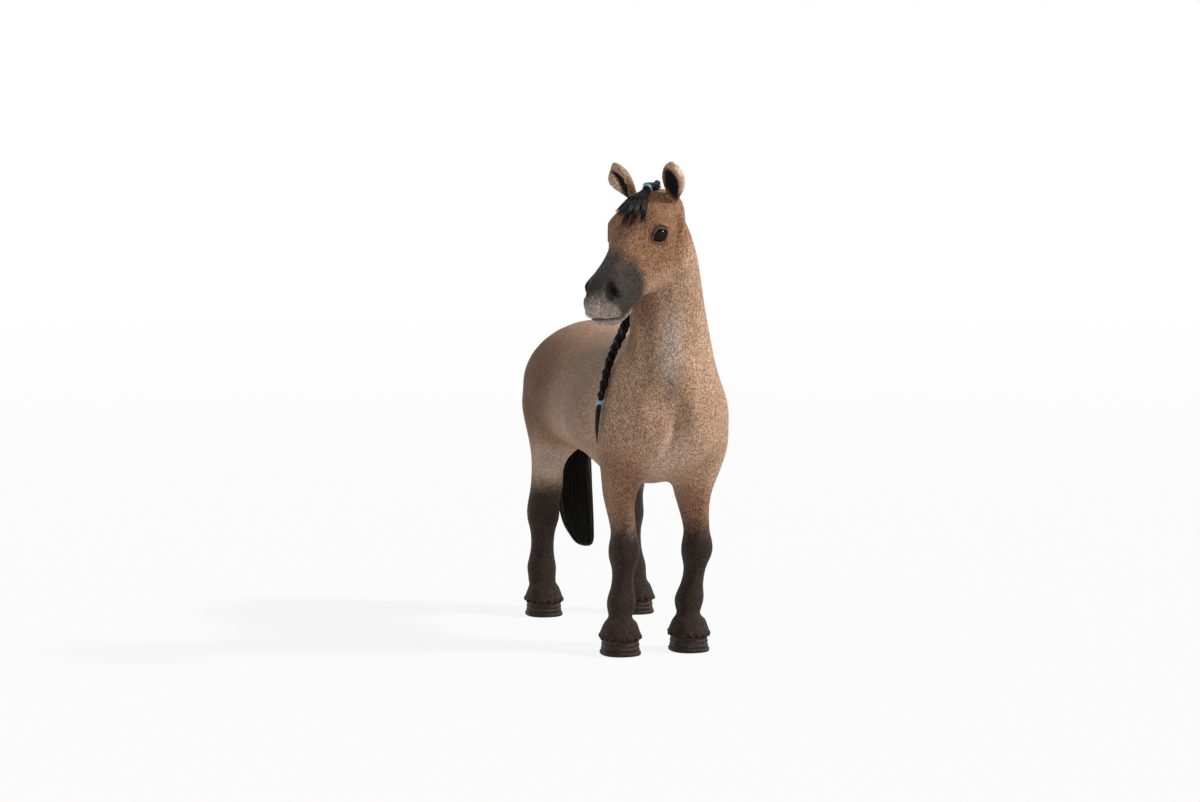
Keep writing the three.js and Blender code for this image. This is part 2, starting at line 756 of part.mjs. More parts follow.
// Plait: rows from between the ears, over the poll, then over the right side of the neck to the shoulder.
// Each has the head's or the body's row, the degrees round it, and how far out in plait thicknesses.
const plaitOnHeadShares = [
  [1.0, 86, 0.4],
  [0.55, 89, 0.7],
  [0.1, 93, 1.25],
];
const plaitOnBodyShares = [
  [16.9, 99, 1.55],
  [16.2, 112, 0.95],
  [15.4, 132, 0.55],
  [14.6, 152, 0.45],
  [13.9, 166, 0.47],
  [13.2, 173, 0.65],
  [12.3, 168, 0.95],
  [11.2, 158, 0.95],
  [10.65, 163, 0.62],
  [10.75, 178, 0.52],
  [10.7, 188, 0.55],
  [10.4, 198, 0.55],
  [9.9, 208, 0.6],
];
const strandShare = 0.35;
const gatherShare = 0.35;
const stepsPerLobe = 2;
const plaitSides = 4;
const strandSides = 5;
const tuftSides = 10;
// The tuft below the plait's tie: how far down as a share of its length, and its size
const tuftShares = [
  [-0.12, 0.5],
  [0, 0.52],
  [0.1, 0.62],
  [0.25, 1],
  [0.5, 1.05],
  [0.75, 0.75],
  [0.92, 0.4],
  [1, 0.1],
];
const tuftFullShare = 0.36;

function plaitCurves() {
  const points = [];
  const lifted = [];
  for (const [onSkin, shares] of [
    [onHead, plaitOnHeadShares],
    [onBody, plaitOnBodyShares],
  ]) {
    const rows = throughRows(shares);
    for (let i = 0; i < shares.length; i += 0.5) {
      const [row, turn, lift] = rows(i);
      points.push(onSkin(row, degrees(turn), lift * plaitThickness));
      lifted.push(onSkin(row, degrees(turn), (lift + 1) * plaitThickness));
    }
  }
  return [new THREE.CatmullRomCurve3(points), new THREE.CatmullRomCurve3(lifted)];
}

// The plait's own frame at a distance down it
function alongPlait([route, lifted], far) {
  const at = THREE.MathUtils.clamp(far / route.getLength(), 0, 1);
  const point = route.getPointAt(at);
  const way = route.getTangentAt(at);
  const out = lifted.getPoint(route.getUtoTmapping(at)).sub(point);
  out.addScaledVector(way, -out.dot(way)).normalize();
  return { point, way, out, across: way.clone().cross(out) };
}

function makePlait(curves, tiedAt) {
  const strands = [0, 1, 2].map((strand) => {
    const pointAt = (far) => {
      const { point, out, across } = alongPlait(curves, far);
      const phase = (2 * Math.PI * ((tiedAt - far) / lobeLength + strand)) / 3;
      const gather = Math.min(1, (tiedAt - far) / lobeLength + gatherShare);
      const swing = gather * (plaitWidth / 2 - strandShare * plaitThickness);
      const lift = gather * plaitThickness * (1 / 2 - strandShare);
      return point
        .addScaledVector(across, swing * Math.sin(phase))
        .addScaledVector(out, lift * Math.sin(2 * phase));
    };
    const stations = [];
    for (let i = Math.floor((tiedAt / lobeLength) * stepsPerLobe); i >= 0; i -= 1) {
      const far = tiedAt - (lobeLength * i) / stepsPerLobe;
      const way = pointAt(far + tieWidth / 4).sub(pointAt(far - tieWidth / 4)).normalize();
      const { out } = alongPlait(curves, far);
      const wide = way.clone().cross(out).setLength(strandShare * plaitThickness);
      const deep = wide.clone().cross(way).setLength(strandShare * plaitThickness);
      stations.push({ point: pointAt(far), wide, deep });
    }
    return tubeThrough(stations, plaitSides);
  });
  const tuftStations = tuftShares.map(([far, size]) => {
    const { point, out, across } = alongPlait(curves, tiedAt + far * tuftLength);
    return {
      point,
      wide: across.multiplyScalar(size * tuftFullShare * plaitWidth),
      deep: out.multiplyScalar(size * tuftFullShare * plaitThickness),
    };
  });
  return joined([...strands, tubeThrough(tuftStations, tuftSides)]).subtract(figureBodyClear);
}

// A hair tie: a ring round a tuft at a place, square to the way the hair runs, thicker all round by spare
function makeTie({ point, way, out }, spare = 0) {
  const ring = new THREE.TorusGeometry(tieRadius + tieWidth / 2, tieWidth / 2 + spare, 8, 14);
  const place = new THREE.Matrix4().makeBasis(out.clone().cross(way), out, way.clone().negate());
  return solidOf(ring.applyMatrix4(place.setPosition(point)));
}

// Forelock: strands that fan down the forehead from a tie between the ears.
// Each has the head's row and degrees at its tip, and its thickness as a share of the middle one's.
const forelockShares = [
  [3.7, 124, 0.85],
  [4.1, 109, 0.95],
  [4.9, 95, 1],
  [4.9, 84, 0.95],
  [4.6, 68, 0.85],
];
const forelockSeatShares = { row: 1.8, turn: 90 };
const strandSteps = 7;
// A strand's half width along its length, as a share of its full one
const strandTaperShares = [[1], [1], [0.95], [0.8], [0.15]];
const strideShare = 0.04;
const strandLiftShare = 0.42;
const fanShare = 1.3;
// The knot above the tie and the hair through it: how far down in tie widths, and the size in tie radii
const knotShares = [
  [-1.9, 0.4],
  [-1.5, 1.4],
  [-0.9, 1.4],
  [-0.3, 0.9],
  [0.9, 0.95],
];

function forelockFrame() {
  const { row, turn } = forelockSeatShares;
  const point = onHead(row, degrees(turn), tieRadius);
  const ahead = onHead(row + 1, degrees(turn), tieRadius);
  const way = ahead.sub(point).normalize();
  return { point, way, out: headAcross.clone().cross(way).normalize() };
}

function makeForelock() {
  const root = forelockFrame();
  const taperAt = throughRows(strandTaperShares);
  const strands = forelockShares.map(([tipRow, tipTurn, size]) => {
    const pointAt = (far) => {
      const row = THREE.MathUtils.lerp(forelockSeatShares.row, tipRow, far);
      const fan = Math.max(0, far) ** fanShare;
      const turn = THREE.MathUtils.lerp(forelockSeatShares.turn, tipTurn, fan);
      const lift = THREE.MathUtils.lerp(tieRadius, strandLiftShare * forelockStrand, Math.min(1, 2 * far));
      return onHead(row, degrees(turn), lift);
    };
    const stations = [];
    for (let step = 0; step <= strandSteps; step += 1) {
      const far = step / strandSteps;
      const way = pointAt(far + strideShare).sub(pointAt(far - strideShare)).normalize();
      const [taper] = taperAt(far * (strandTaperShares.length - 1));
      const half = (forelockStrand / 2) * size * taper;
      const wide = way.clone().cross(root.out).setLength(half);
      stations.push({ point: pointAt(far), wide, deep: wide.clone().cross(way).setLength(half) });
    }
    return tubeThrough(stations, strandSides);
  });
  const knot = knotShares.map(([far, size]) => ({
    point: root.point.clone().addScaledVector(root.way, far * tieWidth),
    wide: headAcross.clone().multiplyScalar(size * tieRadius),
    deep: root.out.clone().multiplyScalar(size * tieRadius),
  }));
  return joined([...strands, tubeThrough(knot, tuftSides)]).subtract(figureBodyClear);
}

const plaitRoute = plaitCurves();
const plaitTiedAt = plaitRoute[0].getLength() - tuftLength;
const plaitTieFrame = alongPlait(plaitRoute, plaitTiedAt);
const forelockTieFrame = forelockFrame();

const figure = new THREE.Group();
function piece(name, solid, material) {
  const mesh = new THREE.Mesh(geometryOf(solid), material);
  mesh.name = name;
  figure.add(mesh);
}

piece("trunk", makeTrunk(), materials.coat);
piece("head_and_neck", makeHeadAndNeck(), materials.coat);
for (const [name, leg] of Object.entries(legs)) piece(name, makeLeg(leg), materials.points);
piece("tail", makeTail(), materials.hair);
const plait = makePlait(plaitRoute, plaitTiedAt);
piece("mane_plait", plait.subtract(makeTie(plaitTieFrame, glueLine)), materials.hair);
piece("forelock", makeForelock().subtract(makeTie(forelockTieFrame, glueLine)), materials.hair);
piece("plait_tie", makeTie(plaitTieFrame).subtract(figureBodyClear), materials.tie);
piece("forelock_tie", makeTie(forelockTieFrame).subtract(figureBodyClear), materials.tie);

// The middle of the figure goes over the origin
const bounds = new THREE.Box3().setFromObject(figure);
const middle = bounds.getCenter(v3());
for (const mesh of figure.children) mesh.geometry.translate(-middle.x, -middle.y, -bounds.min.z);

export default figure;
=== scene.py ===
"""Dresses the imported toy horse: a painted skin, glossy eyes, ridged hooves, black hair and blue ties."""

import math

import bmesh
import bpy
import numpy as np
from bpy.props import FloatProperty, FloatVectorProperty, IntProperty, PointerProperty
from bpy.types import Operator, Panel, PropertyGroup
from mathutils import Matrix, Vector


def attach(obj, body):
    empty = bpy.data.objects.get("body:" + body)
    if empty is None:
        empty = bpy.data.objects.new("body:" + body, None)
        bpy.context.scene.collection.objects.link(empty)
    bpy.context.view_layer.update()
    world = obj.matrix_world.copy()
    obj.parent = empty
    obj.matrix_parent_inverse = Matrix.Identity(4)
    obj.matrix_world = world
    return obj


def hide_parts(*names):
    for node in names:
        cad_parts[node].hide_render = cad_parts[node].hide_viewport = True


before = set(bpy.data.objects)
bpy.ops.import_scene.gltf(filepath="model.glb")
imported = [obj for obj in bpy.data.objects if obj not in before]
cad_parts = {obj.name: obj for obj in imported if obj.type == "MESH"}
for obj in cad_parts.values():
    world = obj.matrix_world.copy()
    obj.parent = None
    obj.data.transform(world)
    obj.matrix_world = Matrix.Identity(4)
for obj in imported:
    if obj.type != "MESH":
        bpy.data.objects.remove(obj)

bl_info = {
    "name": "Toy horse figure",
    "version": (1, 0, 0),
    "blender": (4, 5, 0),
    "location": "3D View > Sidebar > Toy horse",
    "description": "Adds the painted skin, eyes, hooves, hair and ties of a moulded toy horse",
    "category": "Add Mesh",
}

MM = 0.001
SKIN_NODES = ("trunk", "head_and_neck", "foreleg_right", "foreleg_left", "hindleg_right", "hindleg_left")

# The head's own frame, in millimetres: its start at the poll, then along the face, to the left eye and up
POLL = (-2.05, -35.57, 101.90)
HEAD_AXES = ((-0.6037, -0.5065, -0.6157), (0.6428, -0.7660, 0.0), (-0.4716, -0.3957, 0.7880))

# Where the castings meet, in millimetres
NECK_SEAM = (3.89, -25.97, 63.05)
NECK_SEAM_WAY = (-0.0482, -0.9036, 0.4257)
FORE_SEAM = 36.5
HIND_SEAM = 38.88
LEG_MIDDLE = (4.0, 12.0)
LEGS_TOP = 44
HIND_FROM = LEG_MIDDLE[1] + 8
NECK_BACK = -10

# The hooves' middles on the floor, in millimetres, then each pastern's middle low down and high up
# and its half width and half length at both
HOOVES = {
    "foreleg_right": (-4.67, -18.98),
    "foreleg_left": (11.63, -18.30),
    "hindleg_right": (-5.81, 40.39),
    "hindleg_left": (16.91, 38.02),
}
PASTERNS = {
    "foreleg_right": ((-4.35, -17.75), (-4.0, -17.15), (2.45, 2.85), (3.05, 3.5)),
    "foreleg_left": ((11.85, -17.1), (12.2, -16.55), (2.45, 2.85), (3.05, 3.5)),
    "hindleg_right": ((-5.82, 41.9), (-5.83, 42.4), (3.19, 3.2), (3.4, 3.7)),
    "hindleg_left": ((16.8, 39.6), (16.6, 40.3), (3.19, 3.2), (3.4, 3.7)),
}

# The tail's line from the dock to its tip, in millimetres: x, y, z, half width, half depth
TAIL_LINE = (
    (3.98, 39.16, 68.08, 1.85, 1.47),
    (3.98, 42.54, 67.77, 2.29, 1.82),
    (3.98, 45.14, 66.31, 2.82, 2.24),
    (3.98, 46.96, 63.61, 3.34, 2.66),
    (3.98, 48.26, 58.93, 3.83, 3.04),
    (3.98, 48.78, 52.69, 4.18, 3.32),
    (3.98, 48.78, 45.93, 4.36, 3.46),
    (4.19, 48.52, 38.65, 4.40, 3.50),
    (4.35, 48.26, 31.37, 4.45, 3.43),
    (4.62, 48.00, 25.65, 4.35, 3.25),
    (5.25, 47.74, 20.97, 3.74, 2.75),
    (6.18, 47.48, 17.59, 2.72, 2.00),
    (6.75, 47.48, 16.25, 2.00, 1.45),
    (7.15, 47.48, 15.62, 0.85, 0.65),
)

# The plait's line from the crown, over the neck's right side and down: x, y, z, then the way out
PLAIT_LINE = (
    (-2.30, -36.46, 103.68, -0.2918, -0.2428, 0.9252),
    (-1.17, -33.51, 103.78, -0.4904, 0.6604, 0.5687),
    (-0.71, -30.65, 100.72, 0.0273, 0.7855, 0.6183),
    (-1.06, -28.81, 97.07, -0.2099, 0.8964, 0.3903),
    (-1.82, -27.50, 93.20, -0.4585, 0.8322, 0.3119),
    (-2.71, -26.75, 89.20, -0.6477, 0.7241, 0.2370),
    (-3.62, -26.54, 85.15, -0.7932, 0.5852, 0.1685),
    (-4.43, -26.70, 81.07, -0.8731, 0.4652, 0.1461),
    (-5.23, -26.84, 76.98, -0.9166, 0.3536, 0.1867),
    (-6.17, -26.55, 72.95, -0.9231, 0.2067, 0.3243),
    (-6.94, -24.31, 69.66, -0.9089, 0.2111, 0.3596),
    (-7.32, -21.43, 66.93, -0.9165, 0.2691, 0.2960),
    (-8.71, -21.93, 63.11, -0.9262, 0.1472, 0.3470),
    (-10.13, -23.69, 59.61, -0.9433, 0.1414, 0.3004),
    (-11.34, -24.70, 55.78, -0.9757, -0.0281, 0.2173),
    (-11.80, -24.62, 51.66, -0.9824, -0.1852, -0.0238),
    (-11.41, -23.40, 47.91, -0.9414, -0.2421, -0.2349),
)
# The length of its loose end under the tie, then the tie's middle and the way through it
TUFT = 9.0
PLAIT_TIE = ((-11.18, -24.61, 56.43), (-0.2412, -0.1504, -0.9587))

# The forelock's strands from its tie down the forehead, in millimetres
FORELOCK_TIE = ((-4.44, -37.58, 102.86), (-0.6816, -0.5719, -0.4564))
FORELOCK_STRANDS = (
    ((-5.98, -37.63, 101.92), (-7.78, -37.54, 100.96), (-9.51, -37.29, 99.59), (-11.27, -36.91, 97.88)),
    ((-6.00, -38.09, 101.78), (-7.81, -38.56, 100.67), (-9.63, -38.92, 99.08), (-11.28, -39.21, 97.26)),
    ((-6.22, -38.79, 101.46), (-8.18, -40.03, 99.72), (-10.01, -41.19, 97.48), (-11.44, -42.21, 95.17)),
    ((-5.92, -39.15, 101.46), (-7.46, -40.89, 99.72), (-8.88, -42.53, 97.48), (-10.11, -43.78, 95.16)),
    ((-5.45, -39.34, 101.57), (-6.40, -41.37, 100.05), (-7.23, -43.37, 97.94), (-7.94, -44.89, 95.68)),
)

# Strokes of the modelling tool on the head, on both of its sides: along, across, up,
# then how far each reaches along, across and up, and how much it raises or hollows
HEAD_STROKES = (
    (9.5, 6.3, -10.0, 4.5, 2.5, 4.5, 0.35),
    (18.0, 5.0, -5.6, 4.0, 1.2, 0.9, 0.38),
    (17.5, 3.6, -1.7, 4.0, 1.1, 1.0, -0.32),
    (22.0, 2.1, 0.2, 6.0, 0.8, 1.0, 0.2),
    (28.6, 3.6, -4.0, 2.3, 1.6, 2.2, 0.25),
    (11.2, 5.5, 0.8, 2.4, 1.6, 1.3, 0.5),
    (24.5, 4.2, -6.5, 2.5, 1.5, 2.0, 0.22),
    (32.0, 2.6, -6.9, 1.8, 1.6, 1.6, 0.45),
    (24.0, 4.2, -2.6, 2.2, 1.2, 1.6, -0.25),
)
JAW_STROKE = ((27.0, 0.5, -11.5), (3.4, 3.4, 2.4), 1.15)

# Strokes on the body in millimetres, repeated on both sides of its middle: x from the middle, y, z,
# then how far each reaches and how much it raises or hollows
BODY_STROKES = (
    (5.0, -31.0, 49.0, 3.6, 4.0, 6.0, 0.6),
    (0.0, -32.5, 49.0, 1.3, 4.0, 8.0, -0.6),
    (5.2, -33.5, 67.0, 1.2, 3.0, 11.0, -0.4),
    (9.8, -24.0, 42.0, 2.5, 3.0, 5.0, 0.3),
    (14.5, -14.0, 50.0, 3.0, 2.4, 8.0, -0.35),
    (15.0, 7.0, 57.0, 3.0, 3.0, 8.0, -0.5),
    (12.5, 29.0, 50.0, 4.0, 1.8, 9.0, -0.35),
    (11.0, 26.0, 38.0, 2.4, 3.0, 4.0, 0.3),
    (13.0, 2.0, 70.0, 3.0, 10.0, 2.5, -0.2),
    (9.0, 4.0, 43.5, 7.0, 13.0, 4.5, -2.3),
    (0.0, 4.0, 43.5, 5.0, 13.0, 4.5, -1.2),
    (5.5, 29.5, 38.3, 3.2, 4.5, 5.2, -3.0),
    (4.5, 34.0, 37.0, 2.5, 6.0, 5.5, -2.2),
    (13.3, -18.5, 38.0, 2.5, 5.0, 6.0, -0.4),
    (5.0, -21.5, 34.5, 2.5, 5.0, 6.0, -0.8),
    (13.0, -19.5, 32.5, 2.5, 4.5, 4.5, -0.65),
    (4.2, -19.5, 32.5, 2.5, 4.5, 4.5, -0.65),
    (13.0, 36.0, 46.0, 4.0, 5.0, 8.0, 0.5),
)
# Strokes on one side alone: behind the throat, over the right elbow and the slanting valley of the chest
ONE_SIDED_STROKES = (
    ((-5.0, -31.0, 75.0), (2.5, 3.0, 5.0), 1.1),
    ((-9.3, -18.5, 38.0), (2.5, 5.0, 6.0), -0.8),
    ((1.8, -34.5, 58.8), (2.0, 3.0, 4.0), -0.5),
    ((5.0, -34.0, 53.5), (2.2, 3.0, 4.5), -0.35),
    ((-4.5, -32.5, 54.0), (3.0, 3.0, 5.0), 0.35),
)
# Where the chest arches over to the forelegs: its middle, its reach and how often it is evened out
CHEST_ARCH = ((4.0, -22.0, 37.5), (8.0, 10.0, 3.6), 50)
# The skin's feet are taken in under the hooves: the heights where that fades out, and the share
FOOT_TAKEN_IN = (3.6, 4.2, 0.22)
# How far the right and the left foreleg lean to the left between the hoof and the elbow
FORE_LEAN = (0.75, 0.5)

# The eye, the nostril and each ear's hollow in the head's frame: the middle, the way along it,
# the way out of it, and the half length and half height of its opening
EYE = ((11.7, 6.0, -2.2), (-0.953, 0.235, -0.19), (0.42, 0.83, 0.36), 2.1, 1.4)
NOSTRIL = ((29.8, 2.8, -2.4), (-0.55, 0.05, 0.83), (0.8, 0.55, 0.15), 2.0, 1.2)
EAR_HOLLOWS = {
    1: ((0.5, 5.6, 3.1), (-0.1, -0.05, 1.0), (0.93, 0.25, 0.3), 4.5, 1.75),
    -1: ((0.3, 6.95, 3.0), (-0.1, 0.42, 0.9), (0.9, 0.0, 0.35), 4.4, 1.15),
}
# The right ear's fuller outer rim: its middle, how far it reaches and how far it stands out
EAR_RIM = ((0.5, -8.8, 3.0), (3.2, 2.4, 2.8), 1.6)
# The mouth's line: how far along the head, then how far up
MOUTH = ((25.0, -9.9), (30.0, -9.0), (31.2, -8.8), (32.8, -7.6), (34.0, -7.2))
MOUTH_CORNER = 25.4

# How high or how deep the head's finer forms are, in millimetres
LID_ROLL = 0.26
SOCKET_DEPTH = 0.7
LID_CREASE = 0.2
LID_FOLD = 0.22
NOSTRIL_WING = 0.14
NOSTRIL_DEPTH = 0.95
EAR_DEPTH = 0.45
LOWER_LIP = 0.3
UPPER_LIP = 0.15
MOUTH_GROOVE = 0.5
# How dark the painted shade in the crease over the eye is, and between which depths a hollow gets its
# painted shade
CREASE_SHADE = 0.2
HOLLOW_DEPTHS = (0.06, 0.24)
# How much less than the body the legs, the feet, the head and the ears are evened out
LEGS_KEPT = 0.6
FEET_KEPT = 0.75
HEAD_KEPT = 0.8
EARS_KEPT = 0.85
# Where the skin's points are closer together: along the head, across it and up, and over which height.
# The neck beside the throat, before THROAT along the head and below it, is left out
FINE_FROM = -3
FINE_ACROSS = 10.5
FINE_UP = (-13.5, 10)
FINE_HEIGHT = 72
THROAT = (5, -4)

# Painted spots on the body, some of them painted light and painted shade: x, y, z, how far each reaches,
# how soft its rim is, its colour and its strength
BODY_SPOTS = (
    ((4, -2, 60), (32, 26, 26), 0.7, "flank", 1.0),
    ((4, 36, 57), (34, 31, 18), 0.36, "warm", 1.0),
    # The coat's colour laid along the top of the back and croup, over the haunches' brown, is painted light
    # where the lamp catches them
    ((4, 22, 73), (7, 26, 4), 0.8, "coat", 0.7),
    ((4, 2, 41), (17, 20, 10), 0.8, "pale", 0.7),
    # On the right side, the forearms' brown reaches up over the chest's lower side as painted shade
    ((-7, -22, 38), (9, 13, 17), 0.6, "forearm", 1.0),
    ((13, -20, 31), (8, 10, 11), 0.6, "forearm", 0.9),
    ((-8, 27, 36.5), (10, 9.5, 8.5), 0.5, "pale", 1.0),
    ((16, 27, 36.5), (10, 9.5, 8.5), 0.5, "pale", 1.0),
    ((-8, 40, 44), (8, 7, 10), 0.7, "warm", 0.9),
    ((16, 40, 44), (8, 7, 10), 0.7, "warm", 0.9),
    ((-11, 4, 50), (7, 8, 9), 0.9, "pale", 0.4),
    ((19, 4, 50), (7, 8, 9), 0.9, "pale", 0.4),
    # Cream on the neck's left side is painted light, where the lamp falls on it
    ((9, -35, 66), (6, 9, 17), 0.9, "cream", 0.7),
    ((7, -32, 47), (8, 7, 9), 0.9, "cream", 0.9),
    ((3, -30, 43), (7, 9, 12), 0.9, "mauve", 0.6),
    # Dark brown as painted shade: the head's shadow under the jaw, the dark band down the neck's front
    # groove, and the plait's shadow on the neck
    ((-4.5, -33, 80), (6, 8, 12), 0.8, "umber_and_shade", 0.85),
    ((-2.6, -34, 68), (2.2, 5, 15), 0.8, "umber_and_shade", 0.35),
    ((-5.5, -29.5, 70), (2.5, 4, 10), 0.8, "umber_and_shade", 0.6),
    ((1.5, -36, 68), (3.9, 6, 16), 0.8, "mauve", 1.0),
    # Dark brown as painted shade in the valleys of the chest
    ((1.6, -34.5, 59), (2.4, 5, 6.5), 0.9, "umber_and_shade", 0.5),
    ((5.2, -34, 53), (3.2, 5, 6.5), 1.0, "umber_and_shade", 0.3),
    ((-0.2, -32, 50), (1.7, 5, 6), 0.9, "umber_and_shade", 0.3),
)
# The lower legs' paint: the heights where it begins and is full, on the forelegs and on the hind legs
FORE_PAINT = (33.5, 24.5)
HIND_PAINT = (37.0, 29.5)
# Painted spots on the head, in its own frame
HEAD_SPOTS = (
    ((9, 0, -3), (17, 12, 13), 0.35, "rust", 1.0),
    ((13, 0, 1.5), (6, 3.2, 3), 0.8, "umber_and_shade", 0.7),
    ((15.5, 5, -12), (6, 4, 5), 0.8, "coat", 0.6),
    ((0.8, 9, 4.5), (3.5, 2.6, 5.5), 0.5, "ear", 1.0),
    ((0.4, -9.3, 3.2), (3.4, 2.4, 5.5), 0.5, "ear", 0.9),
    ((31, 0, -5), (14.8, 13, 14.5), 0.3, "muzzle", 1.0),
    ((22, 3, -0.5), (4, 2.5, 3), 0.9, "umber_and_shade", 0.5),
    ((31.5, 1.5, -2.5), (3, 3.5, 2.5), 0.9, "lip", 0.25),
    ((34.5, 0, -7.5), (5.6, 7.4, 8), 0.55, "lip", 1.0),
    ((28.5, 0, -11.5), (6, 5, 3.4), 0.6, "lip", 0.8),
)


def a_colour(name, description, default):
    """A colour that a user can change."""
    return FloatVectorProperty(name=name, description=description, default=default, subtype="COLOR")


def a_length(name, description, default):
    """A length in millimetres that a user can change."""
    return FloatProperty(name=name, description=description, default=default * MM, unit="LENGTH")


def a_count(name, description, default):
    """A whole number that a user can change."""
    return IntProperty(name=name, description=description, default=default, min=1)


def a_share(name, description, default):
    """A share between nothing and all that a user can change."""
    return FloatProperty(name=name, description=description, default=default, subtype="FACTOR")


class SkinSettings(PropertyGroup):
    """Sizes and colours of the painted skin."""

    grain: a_length("Modelling grain", "Spacing of the skin's points", 0.34)
    swell: a_length("Seam swell", "How far each casting grows to close the glue lines", 0.08)
    rounds: a_count("Smoothing rounds", "How often the skin is evened out", 90)
    coat: a_colour("Coat", "Colour of the coat", (0.52, 0.32, 0.207))
    warm: a_colour("Haunch", "Red brown of the haunches", (0.205, 0.102, 0.058))
    flank: a_colour("Flank", "Grey brown of the barrel", (0.335, 0.213, 0.148))
    rust: a_colour("Face", "Orange brown of the face", (0.295, 0.147, 0.077))
    # The dark brown is the forehead's own paint, and is also laid on as painted shade under the jaw, in the
    # plait's shadow and in the grooves of the neck and chest
    umber_and_shade: a_colour("Dark brown", "Brown of the forehead and of the throat", (0.14, 0.075, 0.045))
    pale: a_colour("Belly", "Cream grey of the belly and the thighs", (0.58, 0.425, 0.32))
    # The cream is also laid on as painted light on the neck's lit left side
    cream: a_colour("Cream", "Light cream of the chest and the neck's left side", (0.70, 0.445, 0.30))
    mauve: a_colour("Neck stripe", "Grey stripe down the neck's front", (0.60, 0.445, 0.365))
    ear: a_colour("Ear rims", "Pale rims of the ears", (0.80, 0.58, 0.42))
    # The forearms' brown is also laid on as painted shade over the chest's lower right side
    forearm: a_colour("Forearms", "Brown of the legs above the knees", (0.30, 0.155, 0.088))
    # The muzzle's colour is also the painted shade round the eyes, and a fifth of it is the near black of
    # the painted shade in the hollows
    muzzle: a_colour("Muzzle", "Colour of the dark muzzle", (0.036, 0.027, 0.0225))
    lip: a_colour("Lips", "Colour of the pale lips", (0.42, 0.34, 0.29))
    lid: a_colour("Eyelids", "Colour of the eyelids' rims", (0.12, 0.075, 0.054))
    points: a_colour("Lower legs", "Colour of the lower legs", (0.030, 0.0178, 0.0126))


class HoofSettings(PropertyGroup):
    """Sizes and colour of the hooves and of the hair over them."""

    width: a_length("Width", "Width of a hoof", 8.5)
    length: a_length("Length", "Length of a hoof", 9.7)
    height: a_length("Height", "Height of a hoof", 4.3)
    shoe: a_length("Shoe", "Height of the rim at the sole", 0.85)
    ridges: a_count("Ridges", "Growth ridges round a hoof", 3)
    ridge_depth: a_length("Ridge depth", "Depth of a ridge", 0.2)
    hair_drop: a_length("Hair edge", "Height of the hair's lower edge over the floor", 3.75)
    colour: a_colour("Hoof", "Colour of the hooves", (0.032, 0.021, 0.017))


class HairSettings(PropertyGroup):
    """Sizes and colours of the tail, the plait, the forelock and their ties."""

    plait_width: a_length("Plait width", "Width of the plait", 2.4)
    plait_thickness: a_length("Plait thickness", "Thickness of the plait", 2.0)
    lobe: a_length("Lobe", "Length of one lobe of the plait", 2.8)
    tail_locks: a_count("Tail locks", "Locks laid over the tail", 30)
    lock_width: a_length("Lock width", "Width of a forelock strand", 1.45)
    black: a_colour("Hair", "Colour of the hair", (0.003, 0.0027, 0.0024))
    tie: a_colour("Ties", "Colour of the ties", (0.30, 0.60, 0.74))


class StageSettings(PropertyGroup):
    """The floor, the lamp and the camera."""

    floor_size: a_length("Floor", "Half width of the floor", 6000)
    floor_level: a_share("Floor level", "How white the floor is", 0.9)
    floor_glow: a_share("Floor glow", "How far the floor is lifted to white for the camera", 0.88)
    lamp: FloatProperty(name="Lamp", description="Strength of the soft lamp", default=2.6)
    lamp_spread: FloatProperty(
        name="Lamp spread",
        description="Angle that the soft lamp fills",
        default=math.radians(9),
        subtype="ANGLE",
    )
    sky: FloatProperty(name="Room light", description="Strength of the room's even light", default=0.3)
    backdrop: a_share("Backdrop", "How white the backdrop is", 1.0)
    lens: FloatProperty(name="Lens", description="Focal length in millimetres", default=75.6)


def rise(values, low, high):
    """0 below low, 1 above high and a soft step between."""
    share = np.clip((values - low) / (high - low), 0, 1)
    return share * share * (3 - 2 * share)


def fall(values, low, high):
    """1 below low, 0 above high and a soft step between."""
    return 1 - rise(values, low, high)


def head_place(points):
    """Points in the head's own frame, in millimetres."""
    return (points / MM - np.array(POLL)) @ np.array(HEAD_AXES).T


def points_of(mesh):
    """The mesh's points as rows of an array."""
    points = np.empty(len(mesh.vertices) * 3)
    mesh.vertices.foreach_get("co", points)
    return points.reshape(-1, 3)


def normals_of(mesh):
    """The mesh's normals as rows of an array."""
    normals = np.empty(len(mesh.vertices) * 3)
    mesh.vertices.foreach_get("normal", normals)
    return normals.reshape(-1, 3)


def edges_of(mesh):
    """The ends of the mesh's edges as rows of an array."""
    ends = np.empty(len(mesh.edges) * 2, dtype=np.int64)
    mesh.edges.foreach_get("vertices", ends)
    return ends.reshape(-1, 2)


def neighbours_middle(points, ends, count):
    """The middle of each point's neighbours."""
    total = np.empty_like(points)
    for axis in range(3):
        total[:, axis] = np.bincount(ends[:, 0], points[ends[:, 1], axis], len(points))
        total[:, axis] += np.bincount(ends[:, 1], points[ends[:, 0], axis], len(points))
    return total / count[:, None]


def evened(points, ends, pull, rounds):
    """The points drawn to their neighbours' middles, each by its own pull."""
    count = np.bincount(ends.ravel(), minlength=len(points))
    for _ in range(rounds):
        points = points + pull[:, None] * (neighbours_middle(points, ends, count) - points)
    return points


def new_object(name, bm):
    """An object with the bmesh's mesh, smooth shaded, standing at the origin."""
    mesh = bpy.data.meshes.new(name)
    bm.to_mesh(mesh)
    bm.free()
    mesh.shade_smooth()
    made = bpy.data.objects.new(name, mesh)
    bpy.context.scene.collection.objects.link(made)
    return made


def fit_out(piece, material, nodes=()):
    """Gives a finished piece its material and its place on the figure, and hides the castings it stands
    for.
    """
    piece.data.materials.clear()
    piece.data.materials.append(material)
    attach(piece, "root")
    if nodes:
        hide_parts(*nodes)
    return piece


# Materials

